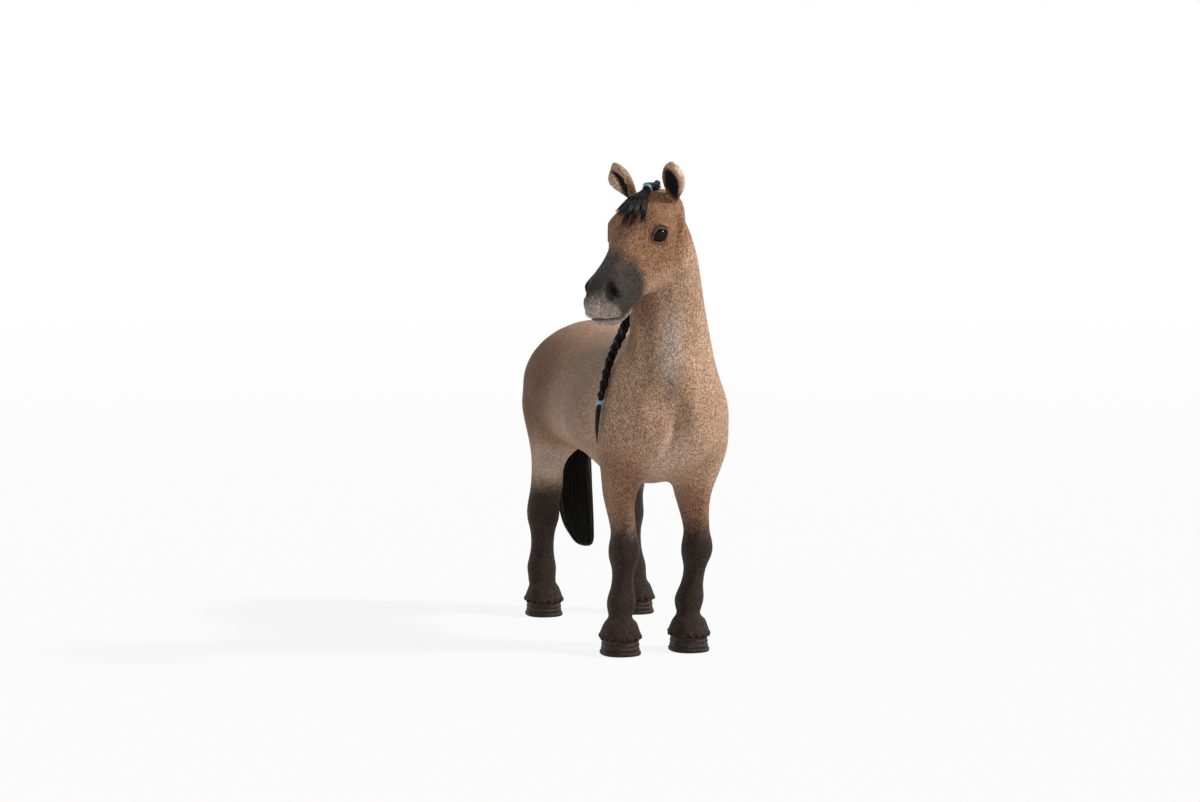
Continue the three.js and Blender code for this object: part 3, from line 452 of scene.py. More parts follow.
# The short hair: how it lies along x, y and z, how wide a stroke is, and how fine and strong the specks are
HAIR_LIE = (1.0, 0.9, 0.6)
HAIR_WIDTH = 0.11
SPECKS_FINER = 2.3
SPECKS_SHARE = 0.45
# How fine the grain is on the coat and on the hooves
COAT_GRAIN = 2.6
HORN_GRAIN = 1.6
# Soft dark clouds over the whole coat
CLOUD_SCALE = 0.16
CLOUD_STRENGTH = 0.22
CLOUD_TINT = (0.35, 0.33, 0.32)
# How far the edge of the legs' dark paint strays, in millimetres, and how far the painted shade and light
# of a hoof's ridges stray, in radians
RAGGED_EDGE = 2.6
RIDGE_WANDER = 3.0
# The grey glints, painted highlights on the black hair, and how they lie along it, and the two blacks of an
# eye
GLINT = (0.16, 0.15, 0.145)
GLINT_LIE = (1.7, 1.7, 7.0)
EYE_COLOURS = ((0.003, 0.0025, 0.0025), (0.012, 0.008, 0.006))


def new_group(name, inputs, outputs):
    """A shader node group with named inputs and outputs."""
    tree = bpy.data.node_groups.new(name, "ShaderNodeTree")
    for label, kind, value in inputs:
        tree.interface.new_socket(label, in_out="INPUT", socket_type=kind).default_value = value
    for label, kind in outputs:
        tree.interface.new_socket(label, in_out="OUTPUT", socket_type=kind)
    return tree, tree.nodes.new("NodeGroupInput").outputs, tree.nodes.new("NodeGroupOutput").inputs


def add_node(tree, kind, inputs=None, **settings):
    """A node with its settings, and each input set to a value or joined to a socket."""
    made = tree.nodes.new(kind)
    for name, value in settings.items():
        setattr(made, name, value)
    for socket, value in (inputs or {}).items():
        if isinstance(value, bpy.types.NodeSocket):
            tree.links.new(value, made.inputs[socket])
        else:
            made.inputs[socket].default_value = value
    return made


def number_math(tree, operation, *values, **settings):
    """A Math node's result."""
    made = add_node(tree, "ShaderNodeMath", dict(enumerate(values)), operation=operation, **settings)
    return made.outputs[0]


def vector_math(tree, operation, *vectors):
    """A Vector Math node's result: a number for a length, else a vector."""
    made = add_node(tree, "ShaderNodeVectorMath", dict(enumerate(vectors)), operation=operation)
    return made.outputs["Value" if operation == "LENGTH" else "Vector"]


def ranged(tree, value, low=0.0, high=1.0, start=0.0, end=1.0, way="LINEAR"):
    """The value with its range from low to high carried over to start to end."""
    inputs = {"Value": value, "From Min": low, "From Max": high, "To Min": start, "To Max": end}
    return add_node(tree, "ShaderNodeMapRange", inputs, interpolation_type=way).outputs["Result"]


def noise(tree, place, scale, detail, **inputs):
    """A cloudy pattern's shade at each place."""
    inputs = {"Vector": place, "Scale": scale, "Detail": detail, **inputs}
    return add_node(tree, "ShaderNodeTexNoise", inputs).outputs["Fac"]


def mix_number(tree, share, under, over):
    """A number between the number under and the number over."""
    inputs = {"Factor": share, "A": under, "B": over}
    return add_node(tree, "ShaderNodeMix", inputs, data_type="FLOAT").outputs["Result"]


def stretched(tree, place, scale):
    """A place stretched along its axes."""
    return add_node(tree, "ShaderNodeMapping", {"Vector": place, "Scale": scale}).outputs[0]


def axis_of(tree, place, axis):
    """One axis of a place."""
    return add_node(tree, "ShaderNodeSeparateXYZ", {"Vector": place}).outputs[axis]


def attribute(tree, name, output):
    """A value that a piece keeps at its points."""
    return add_node(tree, "ShaderNodeAttribute", attribute_name=name).outputs[output]


def soft_spot_group():
    """A mask that is 1 inside a rounded spot and fades to 0 at its rim."""
    tree, given, result = new_group(
        "Soft spot",
        [
            ("Place", "NodeSocketVector", (0, 0, 0)),
            ("Centre", "NodeSocketVector", (0, 0, 0)),
            ("Reach", "NodeSocketVector", (1, 1, 1)),
            ("Fade", "NodeSocketFloat", 0.5),
            ("Strength", "NodeSocketFloat", 1.0),
        ],
        [("Mask", "NodeSocketFloat")],
    )
    away = vector_math(tree, "SUBTRACT", given["Place"], given["Centre"])
    far = vector_math(tree, "LENGTH", vector_math(tree, "DIVIDE", away, given["Reach"]))
    inner = number_math(tree, "SUBTRACT", 1.0, given["Fade"])
    mask = ranged(tree, far, 1.0, inner, end=given["Strength"], way="SMOOTHSTEP")
    tree.links.new(mask, result["Mask"])
    return tree


def short_hair_group():
    """Fine short hair and specks of paint: a light and dark fleck, and a height for the relief."""
    tree, given, result = new_group(
        "Short hair grain",
        [("Place", "NodeSocketVector", (0, 0, 0)), ("Grain", "NodeSocketFloat", 1.5)],
        [("Fleck", "NodeSocketFloat"), ("Height", "NodeSocketFloat")],
    )
    lying = stretched(tree, given["Place"], HAIR_LIE)
    hairs = noise(tree, lying, given["Grain"], 1.5, Roughness=0.5, Distortion=1.1)
    from_middle = number_math(tree, "ABSOLUTE", number_math(tree, "SUBTRACT", hairs, 0.5))
    strokes = ranged(tree, from_middle, high=HAIR_WIDTH)
    specks = noise(tree, lying, number_math(tree, "MULTIPLY", given["Grain"], SPECKS_FINER), 1.0)
    blend = mix_number(tree, SPECKS_SHARE, strokes, ranged(tree, specks, 0.3, 0.7))
    tree.links.new(blend, result["Fleck"])
    tree.links.new(blend, result["Height"])
    return tree


def mix_colour(tree, mask, under, over, way="MIX"):
    """The colour over laid on the colour under by the mask."""
    made = add_node(tree, "ShaderNodeMix", data_type="RGBA", blend_type=way)
    for socket, value in zip((made.inputs[0], made.inputs[6], made.inputs[7]), (mask, under, over)):
        if isinstance(value, bpy.types.NodeSocket):
            tree.links.new(value, socket)
        else:
            socket.default_value = value if isinstance(value, float) else (*value, 1.0)
    return made.outputs[2]


def shade_of(colour, times):
    """A colour made darker or lighter."""
    return tuple(times * value for value in colour)


def new_material(name, **shader_values):
    """A material with its shader's own sockets set."""
    made = bpy.data.materials.new(name)
    made.use_nodes = True
    shader = made.node_tree.nodes["Principled BSDF"]
    for socket, value in shader_values.items():
        shader.inputs[socket.replace("_", " ")].default_value = value
    return made, made.node_tree, shader


def bump(tree, shader, height, strength, distance):
    """Feeds a height to the shader's normal."""
    inputs = {"Height": height, "Strength": strength, "Distance": distance * MM}
    tree.links.new(add_node(tree, "ShaderNodeBump", inputs).outputs["Normal"], shader.inputs["Normal"])


def place_in_millimetres(tree, start=(0, 0, 0), turn=(0, 0, 0)):
    """Object coordinates in millimetres from a start and a turn."""
    inputs = {
        "Vector": add_node(tree, "ShaderNodeTexCoord").outputs["Object"],
        "Location": tuple(value * MM for value in start),
        "Rotation": turn,
        "Scale": (MM, MM, MM),
    }
    return add_node(tree, "ShaderNodeMapping", inputs, vector_type="TEXTURE").outputs[0]


def painted_coat(groups, settings):
    """The coat's paint: soft shades, some painted light and shade, dark lower legs, painted shade in the
    hollows and fine hair grain.
    """
    made, tree, shader = new_material("painted_coat", Roughness=0.62, Specular_IOR_Level=0.18)
    place = place_in_millimetres(tree)
    head = place_in_millimetres(tree, POLL, tuple(Matrix(HEAD_AXES).transposed().to_euler()))
    colour = (*settings.coat,)
    for spots, where in ((BODY_SPOTS, place), (HEAD_SPOTS, head)):
        for *spot, shade, strength in spots:
            mask = spot_mask(tree, groups, where, *spot, strength)
            colour = mix_colour(tree, mask, colour, tuple(getattr(settings, shade)))
    colour = leg_paint(tree, place, colour, settings)
    # Masks kept at the skin's points: painted shade round the eyes, in the crease over them and in the
    # hollows, the lids' and lips' paint, and the near black of the eyes, nostrils, ear hollows and mouth
    # line
    black = shade_of(settings.muzzle, 0.2)
    for name, over in (
        ("shade", settings.muzzle),
        ("lid", settings.lid),
        ("rim", settings.lip),
        ("hollow", black),
        ("dark", black),
    ):
        colour = mix_colour(tree, attribute(tree, name, "Fac"), colour, tuple(over))
    clouds = ranged(tree, noise(tree, place, CLOUD_SCALE, 3.0), 0.3, 0.7, end=CLOUD_STRENGTH)
    colour = mix_colour(tree, clouds, colour, CLOUD_TINT, "MULTIPLY")
    grain = short_hair(tree, groups, place, COAT_GRAIN)
    fleck = ranged(tree, grain["Fleck"], 0.1, 0.9, 0.05, 1.95)
    colour = mix_colour(tree, grain_strength(tree, groups, place, head), colour, fleck, "MULTIPLY")
    tree.links.new(colour, shader.inputs["Base Color"])
    tree.links.new(ranged(tree, grain["Fleck"], start=0.72, end=0.52), shader.inputs["Roughness"])
    bump(tree, shader, grain["Height"], 0.8, 0.16)
    return made


def short_hair(tree, groups, place, grain):
    """The outputs of the short hair, at its own spacing."""
    inputs = {"Place": place, "Grain": grain}
    return add_node(tree, "ShaderNodeGroup", inputs, node_tree=groups["hair"]).outputs


def spot_mask(tree, groups, where, centre, reach, fade, strength):
    """The mask of one painted spot."""
    inputs = {"Place": where, "Centre": centre, "Reach": reach, "Fade": fade, "Strength": strength}
    return add_node(tree, "ShaderNodeGroup", inputs, node_tree=groups["spot"]).outputs["Mask"]


def grain_strength(tree, groups, place, head):
    """How strongly the short hair shows: most on the face and the legs, least on the haunches."""
    back = ranged(tree, axis_of(tree, place, "Y"), -16.0, 2.0, 0.85, 0.5)
    legs = ranged(tree, axis_of(tree, place, "Z"), 36.0, 28.0, end=0.5)
    face = spot_mask(tree, groups, head, (12, 0, -2), (26, 14, 15), 0.35, 0.4)
    return number_math(tree, "ADD", number_math(tree, "ADD", back, legs), face, use_clamp=True)


def leg_paint(tree, place, colour, settings):
    """Nearly black down from the knees and the hocks, with a ragged edge."""
    ragged = ranged(tree, noise(tree, place, 0.9, 4.0, Roughness=0.7), start=-RAGGED_EDGE, end=RAGGED_EDGE)
    level = number_math(tree, "ADD", axis_of(tree, place, "Z"), ragged)
    masks = [ranged(tree, level, *heights, way="SMOOTHSTEP") for heights in (FORE_PAINT, HIND_PAINT)]
    hind = ranged(tree, axis_of(tree, place, "Y"), 5.0, 20.0)
    return mix_colour(tree, mix_number(tree, hind, *masks), colour, tuple(settings.points))


def black_hair(name, settings, glint):
    """Black painted hair with fine streaks along each strand, a slight sheen and grey painted highlights
    along it.
    """
    made, tree, shader = new_material(name, Roughness=0.5, Specular_IOR_Level=0.09)
    lay = attribute(tree, "lay", "Vector")
    streaks = noise(tree, lay, 9.0, 3.0, Roughness=0.6)
    black = tuple(settings.black)
    colour = mix_colour(tree, ranged(tree, streaks, 0.3, 0.7), black, shade_of(black, 2.6))
    # The glints are painted highlights, laid along the hair's streaks
    ridges = noise(tree, stretched(tree, lay, GLINT_LIE), 1.0, 2.0)
    colour = mix_colour(tree, ranged(tree, ridges, 0.56, 0.68, end=glint), colour, GLINT)
    tree.links.new(colour, shader.inputs["Base Color"])
    tree.links.new(ranged(tree, streaks, start=0.55, end=0.35), shader.inputs["Roughness"])
    bump(tree, shader, streaks, 0.6, 0.15)
    return made


def hoof_horn(groups, settings):
    """Dark brown horn, a little uneven, with painted shade in each groove between its ridges and painted
    light on the ridges.
    """
    made, tree, shader = new_material("hoof_horn", Roughness=0.5, Specular_IOR_Level=0.15)
    place = place_in_millimetres(tree)
    grain = short_hair(tree, groups, place, HORN_GRAIN)
    dark, light = shade_of(settings.colour, 0.5), shade_of(settings.colour, 1.9)
    colour = mix_colour(tree, grain["Fleck"], dark, light)
    # Painted shade in wavy grooves up the wall and painted light on the ridges between them
    turns = math.pi * MM * (settings.ridges + 0.5) / (settings.height - settings.shoe)
    phase = number_math(tree, "MULTIPLY_ADD", axis_of(tree, place, "Z"), turns, -turns * settings.shoe / MM)
    wander = number_math(tree, "MULTIPLY_ADD", noise(tree, place, 0.35, 1.0), RIDGE_WANDER, phase)
    ridge = number_math(tree, "ABSOLUTE", number_math(tree, "SINE", wander))
    colour = mix_colour(tree, 1.0, colour, ranged(tree, ridge, high=0.85, start=0.35, end=1.35), "MULTIPLY")
    tree.links.new(colour, shader.inputs["Base Color"])
    tree.links.new(ranged(tree, grain["Fleck"], start=0.62, end=0.46), shader.inputs["Roughness"])
    bump(tree, shader, grain["Height"], 0.5, 0.2)
    return made


def glossy_eye():
    """A black glossy eye, very slightly brown in places."""
    made, tree, shader = new_material("glossy_eye", Roughness=0.14, Specular_IOR_Level=0.11)
    clouds = noise(tree, place_in_millimetres(tree), 1.2, 2.0)
    tree.links.new(mix_colour(tree, clouds, *EYE_COLOURS), shader.inputs["Base Color"])
    return made


def tie_paint(settings):
    """Pale blue paint, a little worn in places."""
    made, tree, shader = new_material("tie_paint", Roughness=0.5)
    wear = noise(tree, place_in_millimetres(tree), 3.0, 3.0)
    worn = shade_of(settings.tie, 0.6)
    colour = mix_colour(tree, ranged(tree, wear, 0.35, 0.75), tuple(settings.tie), worn)
    tree.links.new(colour, shader.inputs["Base Color"])
    bump(tree, shader, wear, 0.3, 0.1)
    return made


def shared_groups():
    """The node groups that the materials share, made once."""
    found = bpy.data.node_groups
    return {
        "spot": found.get("Soft spot") or soft_spot_group(),
        "hair": found.get("Short hair grain") or short_hair_group(),
    }


# The skin

def swollen_castings(swell):
    """Copies of the skin's castings in one mesh, each grown a little so that the glue lines close."""
    joined = bmesh.new()
    for node in SKIN_NODES:
        casting = bmesh.new()
        casting.from_mesh(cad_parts[node].data)
        bmesh.ops.remove_doubles(casting, verts=casting.verts, dist=0.001 * MM)
        casting.normal_update()
        for vert, out in [(vert, vert.normal.copy()) for vert in casting.verts]:
            vert.co += out * swell
        grown = bpy.data.meshes.new(node + "_copy")
        casting.to_mesh(grown)
        casting.free()
        joined.from_mesh(grown)
        bpy.data.meshes.remove(grown)
    return joined


def remeshed(bm, grain):
    """The bmesh's outside as one even skin of small squares."""
    rough = new_object("rough_skin", bm)
    remesh = rough.modifiers.new("Remesh", "REMESH")
    remesh.mode = "VOXEL"
    remesh.voxel_size = grain
    ready = rough.evaluated_get(bpy.context.evaluated_depsgraph_get())
    mesh = bpy.data.meshes.new_from_object(ready)
    bpy.data.objects.remove(rough)
    return mesh


def keep_largest(mesh):
    """Leaves only the mesh's largest connected shell."""
    ends = edges_of(mesh)
    label = np.arange(len(mesh.vertices))
    while True:
        low = np.minimum(label[ends[:, 0]], label[ends[:, 1]])
        before = label.copy()
        np.minimum.at(label, ends[:, 0], low)
        np.minimum.at(label, ends[:, 1], low)
        label = label[label]
        if (label == before).all():
            break
    names, counts = np.unique(label, return_counts=True)
    keep = names[counts.argmax()]
    bm = bmesh.new()
    bm.from_mesh(mesh)
    away = [vert for vert, name in zip(bm.verts, label) if name != keep]
    bmesh.ops.delete(bm, geom=away, context="VERTS")
    bm.to_mesh(mesh)
    bm.free()


def smoothing_pull(points):
    """How strongly each point is evened out: less on the legs, the feet, the head and the ears."""
    along, across, up = head_place(points).T
    height = points[:, 2] / MM
    from_head = np.sqrt(((along - 15) / 22) ** 2 + (across / 11) ** 2 + ((up + 6) / 13) ** 2)
    ears = rise(up, -1.5, 0.5) * fall(np.abs(along), 8, 11) * rise(np.abs(across), 1.5, 3)
    pull = np.full(len(points), 0.5)
    pull *= 1 - LEGS_KEPT * fall(height, 30, 46)
    pull *= 1 - FEET_KEPT * fall(height, 7, 11)
    pull *= 1 - HEAD_KEPT * fall(from_head, 0.85, 1.15)
    pull *= 1 - EARS_KEPT * ears * fall(height, 96, 200)
    return pull


def smooth_skin(mesh, rounds):
    """Evens the skin out and gives back what the evening took from its bulk."""
    points, ends = points_of(mesh), edges_of(mesh)
    pull = smoothing_pull(points)
    once = evened(points, ends, pull, rounds)
    given_back = evened(points - once, ends, pull, rounds)
    return once + given_back


def near(where, centre, reach):
    """1 at a centre, fading to 0 past its reach."""
    return np.exp(-(((where - np.array(centre)) / np.array(reach)) ** 2).sum(axis=1))


def own_axes(long_way, out_way):
    """A detail's own axes: along it, over it and out of it."""
    out = unit(np.array(out_way))
    over = unit(np.cross(out, np.array(long_way)))
    return np.array((np.cross(over, out), over, out))


def own_place(where, centre, long_way, out_way):
    """Places by a detail's own axes, and its way out."""
    axes = own_axes(long_way, out_way)
    return (where - np.array(centre)) @ axes.T, axes[2]


def ring(values, middle, width):
    """1 where the values are the middle one, fading to 0 on both sides."""
    return np.exp(-(((values - middle) / width) ** 2))


def almond(place, half_long, half_high):
    """1 on the rim of an opening with pointed corners, less inside it and more outside."""
    return (place[:, 0] / half_long) ** 2 + np.abs(place[:, 1]) / half_high


def eye_form(where):
    """The lids' rims round a sunk socket, the fold over the upper lid, the lids' paint, and painted shade
    in the crease and round the eye, heavier above it.
    """
    centre, along, out_way, half_long, half_high = EYE
    place, out = own_place(where, centre, along, out_way)
    size = almond(place, half_long, half_high)
    close = fall(np.abs(place[:, 2]), 2.2, 3.2)
    upper = rise(place[:, 1], -0.2, 0.8)
    height = LID_ROLL * ring(size, 1.12, 0.13) - SOCKET_DEPTH * fall(size, 0.72, 1.0)
    height -= LID_CREASE * upper * ring(size, 1.45, 0.15)
    height += LID_FOLD * upper * ring(size, 1.9, 0.3)
    masks = {
        "dark": close * fall(size, 0.92, 1.04) + CREASE_SHADE * close * upper * ring(size, 1.45, 0.12),
        "lid": close * ring(size, 1.13, 0.1),
        # Painted shade round the eye, heavier above it
        "shade": close * (0.4 + 0.3 * upper) * fall(size, 1.2, 2.6) * rise(size, 1.0, 1.2),
    }
    return (height * close)[:, None] * out, masks


def nostril_form(where):
    """The nostril's pit inside its raised wing."""
    centre, along, out_way, half_long, half_high = NOSTRIL
    place, out = own_place(where, centre, along, out_way)
    size = np.hypot(place[:, 0] / half_long, place[:, 1] / half_high)
    close = fall(np.abs(place[:, 2]), 1.8, 2.8)
    height = NOSTRIL_WING * ring(size, 1.45, 0.35) - NOSTRIL_DEPTH * fall(size, 0.3, 1.1)
    return (height * close)[:, None] * out, {"dark": close * fall(size, 0.65, 1.3)}


def ear_form(where, facing, side):
    """The ear's hollow, only on the side that it opens to."""
    centre, along, out_way, half_long, half_high = EAR_HOLLOWS[side]
    place, out = own_place(where, centre, along, out_way)
    narrow = np.clip(1 - 0.1 * np.abs(place[:, 0]), 0.3, 1.0)
    size = np.hypot(place[:, 0] / half_long, place[:, 1] / (half_high * narrow))
    open_side = rise(facing @ out, 0.0, 0.35) * fall(np.abs(place[:, 2]), 2.2, 3.2)
    depth = -EAR_DEPTH * fall(size, 0.4, 1.0) * open_side
    return depth[:, None] * out, {"dark": open_side * fall(size, 0.6, 1.2)}


def mouth_form(where, facing):
    """The line between the lips, the rolled lower lip and the fuller upper lip."""
    along, up = where[:, 0], where[:, 2]
    gap = up - np.interp(along, *zip(*MOUTH))
    inside = rise(along, MOUTH_CORNER - 0.4, MOUTH_CORNER + 0.8) * fall(-up, 12, 13)
    height = LOWER_LIP * ring(gap, -1.05, 0.6) + UPPER_LIP * ring(gap, 1.2, 0.8)
    height -= MOUTH_GROOVE * ring(gap, 0, 0.28)
    masks = {"dark": 0.95 * inside * ring(gap, 0, 0.3), "rim": 0.7 * inside * ring(gap, -1.1, 0.5)}
    return (height * inside)[:, None] * facing, masks


def raise_near(mesh, centres, reach, raised, placed=None):
    """Moves the mesh's points out near each of the centres, or in where raised is negative."""
    points = points_of(mesh)
    where = placed(points) if placed else points / MM
    mask = sum(near(where, centre, reach) for centre in centres)
    move_points(mesh, points + normals_of(mesh) * (mask * raised * MM)[:, None])


def modelled_body(mesh):
    """Raises and hollows the body's forms with strokes, leans the forelegs and takes the feet in."""
    for away, y, z, *reach, raised in BODY_STROKES:
        sides = {LEG_MIDDLE[0] - away, LEG_MIDDLE[0] + away}
        raise_near(mesh, [(x, y, z) for x in sorted(sides)], reach, raised)
    for place, reach, raised in ONE_SIDED_STROKES:
        raise_near(mesh, [place], reach, raised)
    points = points_of(mesh)
    x, y, z = (points / MM).T
    leaning = rise(z, 5, 13) * fall(z, 25, 36) * (y < 5)
    points[:, 0] += leaning * np.where(x < LEG_MIDDLE[0], *FORE_LEAN) * MM
    for centre in HOOVES.values():
        from_hoof = points[:, :2] - np.array(centre) * MM
        foot = fall(z, *FOOT_TAKEN_IN[:2]) * (np.linalg.norm(from_hoof, axis=1) < 8 * MM)
        points[:, :2] -= from_hoof * (foot * FOOT_TAKEN_IN[2])[:, None]
    move_points(mesh, points)
    centre, reach, rounds = CHEST_ARCH
    move_points(mesh, evened(points, edges_of(mesh), 0.5 * near(points / MM, centre, reach), rounds))


def modelled_head(mesh):
    """Raises the head's forms with strokes, cuts its openings and keeps where their paint goes."""
    axes = np.array(HEAD_AXES)
    for along, across, up, *reach, raised in HEAD_STROKES:
        raise_near(mesh, [(along, across, up), (along, -across, up)], reach, raised, head_place)
    points, where = points_of(mesh), head_place(points_of(mesh))
    centre, reach, drop = JAW_STROKE
    low = near(where, centre, reach) + near(where, (centre[0], -centre[1], centre[2]), reach)
    move_points(mesh, points - (np.minimum(low, 1) * drop * MM)[:, None] * axes[2])
    centre, reach, out = EAR_RIM
    points = points_of(mesh)
    fuller = near(head_place(points), centre, reach) * out * MM
    move_points(mesh, points - fuller[:, None] * axes[1])
    masks = {name: np.zeros(len(points)) for name in ("dark", "lid", "rim", "shade")}
    for side in (1, -1):
        flip = np.array((1, side, 1))
        points = points_of(mesh)
        where = head_place(points) * flip
        facing = (normals_of(mesh) @ axes.T) * flip
        moved = np.zeros_like(points)
        for move, found in (eye_form(where), nostril_form(where), ear_form(where, facing, side)):
            moved += move
            keep_masks(masks, found)
        move_points(mesh, points + (moved * flip) @ axes * MM)
    points = points_of(mesh)
    moved, found = mouth_form(head_place(points), normals_of(mesh) @ axes.T)
    keep_masks(masks, found)
    move_points(mesh, points + moved @ axes * MM)
    return masks


def keep_masks(masks, found):
    """Adds the found masks to the kept ones, the stronger of the two at each point."""
    for name, mask in found.items():
        masks[name] = np.maximum(masks[name], np.clip(mask, 0, 1))


def move_points(mesh, points):
    """Sets the mesh's points."""
    mesh.vertices.foreach_set("co", points.ravel())
    mesh.update()


def finer_head(mesh):
    """Halves the spacing of the points on the head, where the modelling is finest."""
    bm = bmesh.new()
    bm.from_mesh(mesh)
    points = points_of(mesh)
    along, across, up = head_place(points).T
    inside = (along > FINE_FROM) & (np.abs(across) < FINE_ACROSS) & (up > FINE_UP[0]) & (up < FINE_UP[1])
    inside &= points[:, 2] > FINE_HEIGHT * MM
    inside &= (along > THROAT[0]) | (up > THROAT[1])
    edges = [edge for edge in bm.edges if inside[edge.verts[0].index] and inside[edge.verts[1].index]]
    bmesh.ops.subdivide_edges(bm, edges=edges, cuts=1, use_grid_fill=True)
    bm.to_mesh(mesh)
    bm.free()
    mesh.update()
    points = points_of(mesh)
    fine = (head_place(points)[:, 0] > FINE_FROM) & (points[:, 2] > FINE_HEIGHT * MM)
    move_points(mesh, evened(points, edges_of(mesh), np.where(fine, 0.4, 0.0), 2))


def hollow_mask(mesh, points):
    """How deep each point lies in a hollow, from 0 to 1, for the painted shade in the hollows."""
    softer = evened(points, edges_of(mesh), np.full(len(points), 0.5), 14)
    depth = ((softer - points) * normals_of(mesh)).sum(axis=1) / MM
    return rise(depth, *HOLLOW_DEPTHS)


def set_attribute(mesh, name, values):
    """Keeps a value for each point in the mesh."""
    made = mesh.attributes.new(name, "FLOAT", "POINT")
    made.data.foreach_set("value", values.astype(np.float32))


def cut_skin(bm):
    """Cuts the skin at the castings' seams."""
    def cut(chosen, place, way):
        faces = [face for face in bm.faces if chosen(face.calc_center_median() / MM)]
        geometry = list({item for face in faces for item in (*face.verts, *face.edges, face)})
        bmesh.ops.bisect_plane(bm, geom=geometry, plane_co=Vector(place) * MM, plane_no=Vector(way))

    cut(lambda p: p.z > LEGS_TOP and p.y < NECK_BACK, NECK_SEAM, NECK_SEAM_WAY)
    cut(lambda p: p.z < LEGS_TOP and p.y < LEG_MIDDLE[1], (0, 0, FORE_SEAM), (0, 0, 1))
    cut(lambda p: p.z < LEGS_TOP and p.y > HIND_FROM, (0, 0, HIND_SEAM), (0, 0, 1))


def skin_parts(bm):
    """The skin's faces, sorted by casting."""
    parts = {node: [] for node in SKIN_NODES}
    for face in bm.faces:
        p = face.calc_center_median() / MM
        side = "right" if p.x < LEG_MIDDLE[0] else "left"
        if p.y < LEG_MIDDLE[1] and p.z < FORE_SEAM:
            parts["foreleg_" + side].append(face.index)
        elif p.y > HIND_FROM and p.z < HIND_SEAM:
            parts["hindleg_" + side].append(face.index)
        elif p.z > LEGS_TOP and (p - Vector(NECK_SEAM)).dot(Vector(NECK_SEAM_WAY)) > 0:
            parts["head_and_neck"].append(face.index)
        else:
            parts["trunk"].append(face.index)
    return parts


def open_rims(bm):
    """The open rims left by a cut, each as the list of its edges."""
    open_edges = [edge for edge in bm.edges if edge.is_boundary]
    waiting = set(open_edges)
    rims = []
    for start in open_edges:
        if start not in waiting:
            continue
        waiting.remove(start)
        rim = [start]
        for edge in rim:
            for vert in edge.verts:
                for other in vert.link_edges:
                    if other in waiting:
                        waiting.remove(other)
                        rim.append(other)
        rims.append(rim)
    return rims


def part_of_skin(whole, node, wanted):
    """One casting's share of the skin, closed at its seams and shaded as the whole skin is."""
    bm = whole.copy()
    bm.faces.ensure_lookup_table()
    keep = set(wanted)
    away = [face for face in bm.faces if face.index not in keep]
    bmesh.ops.delete(bm, geom=away, context="FACES")
    caps = bm.faces.layers.int.new("cap")
    for rim in open_rims(bm):
        closed = bmesh.ops.triangle_fill(bm, edges=rim, use_beauty=True)
        for face in closed["geom"]:
            if isinstance(face, bmesh.types.BMFace):
                face[caps] = 1
    bmesh.ops.recalc_face_normals(bm, faces=bm.faces)
    piece = new_object(node + "_skin", bm)
    keep_shading(piece.data)
    return piece


def keep_shading(mesh):
    """Shades the mesh by the normals kept from the whole skin, and its seam faces flat."""
    kept = np.empty(len(mesh.vertices) * 3)
    mesh.attributes["whole_normal"].data.foreach_get("vector", kept)
    kept = kept.reshape(-1, 3)
    corners = np.empty(len(mesh.loops), dtype=np.int64)
    mesh.loops.foreach_get("vertex_index", corners)
    normals = kept[corners]
    cap = np.empty(len(mesh.polygons), dtype=np.int64)
    mesh.attributes["cap"].data.foreach_get("value", cap)
    for index in np.flatnonzero(cap):
        face = mesh.polygons[index]
        for corner in face.loop_indices:
            normals[corner] = face.normal
    lengths = np.maximum(np.linalg.norm(normals, axis=1), 1e-9)
    mesh.normals_split_custom_set(normals / lengths[:, None])
    mesh.attributes.remove(mesh.attributes["whole_normal"])
    mesh.attributes.remove(mesh.attributes["cap"])


class TOYHORSE_OT_skin(Operator):
    """Add the painted skin over the trunk, the head and neck and the legs"""

    bl_idname = "toyhorse.add_skin"
    bl_label = "Painted skin"

    def execute(self, context):
        settings = context.scene.toyhorse_skin
        mesh = remeshed(swollen_castings(settings.swell), settings.grain)
        keep_largest(mesh)
        points = smooth_skin(mesh, settings.rounds)
        points[:, 2] = np.maximum(points[:, 2], 0)
        move_points(mesh, points)
        modelled_body(mesh)
        finer_head(mesh)
        masks = modelled_head(mesh)
        for name, mask in masks.items():
            set_attribute(mesh, name, mask)
        set_attribute(mesh, "hollow", hollow_mask(mesh, points_of(mesh)))
        shading = mesh.attributes.new("whole_normal", "FLOAT_VECTOR", "POINT")
        shading.data.foreach_set("vector", normals_of(mesh).ravel().astype(np.float32))
        whole = bmesh.new()
        whole.from_mesh(mesh)
        cut_skin(whole)
        whole.faces.index_update()
        parts = skin_parts(whole)
        material = painted_coat(shared_groups(), settings)
        for node, faces in parts.items():
            if not faces:
                raise RuntimeError(f"no skin was found for {node}")
            piece = part_of_skin(whole, node, faces)
            fit_out(piece, material, [node])
        whole.free()
        bpy.data.meshes.remove(mesh)
        return {"FINISHED"}


# Swept forms

# The length of hair, in millimetres, that counts as one along its streaks
LAY_LENGTH = 14


def line_through(stations, steps):
    """Stations along a smooth line through the given ones, with steps of them between two."""
    rows = np.array(stations, dtype=float)
    padded = np.vstack((2 * rows[0] - rows[1], rows, 2 * rows[-1] - rows[-2]))
    result = []
    for index in range(len(rows) - 1):
        a, b, c, d = padded[index : index + 4]
        for t in np.arange(steps) / steps:
            bend = 2 * a - 5 * b + 4 * c - d
            twist = 3 * b - a - 3 * c + d
            result.append(0.5 * (2 * b + (c - a) * t + bend * t * t + twist * t**3))
    result.append(rows[-1])
    return np.array(result)


def unit(vectors):
    """The vectors at length one."""
    return vectors / np.maximum(np.linalg.norm(vectors, axis=-1, keepdims=True), 1e-12)


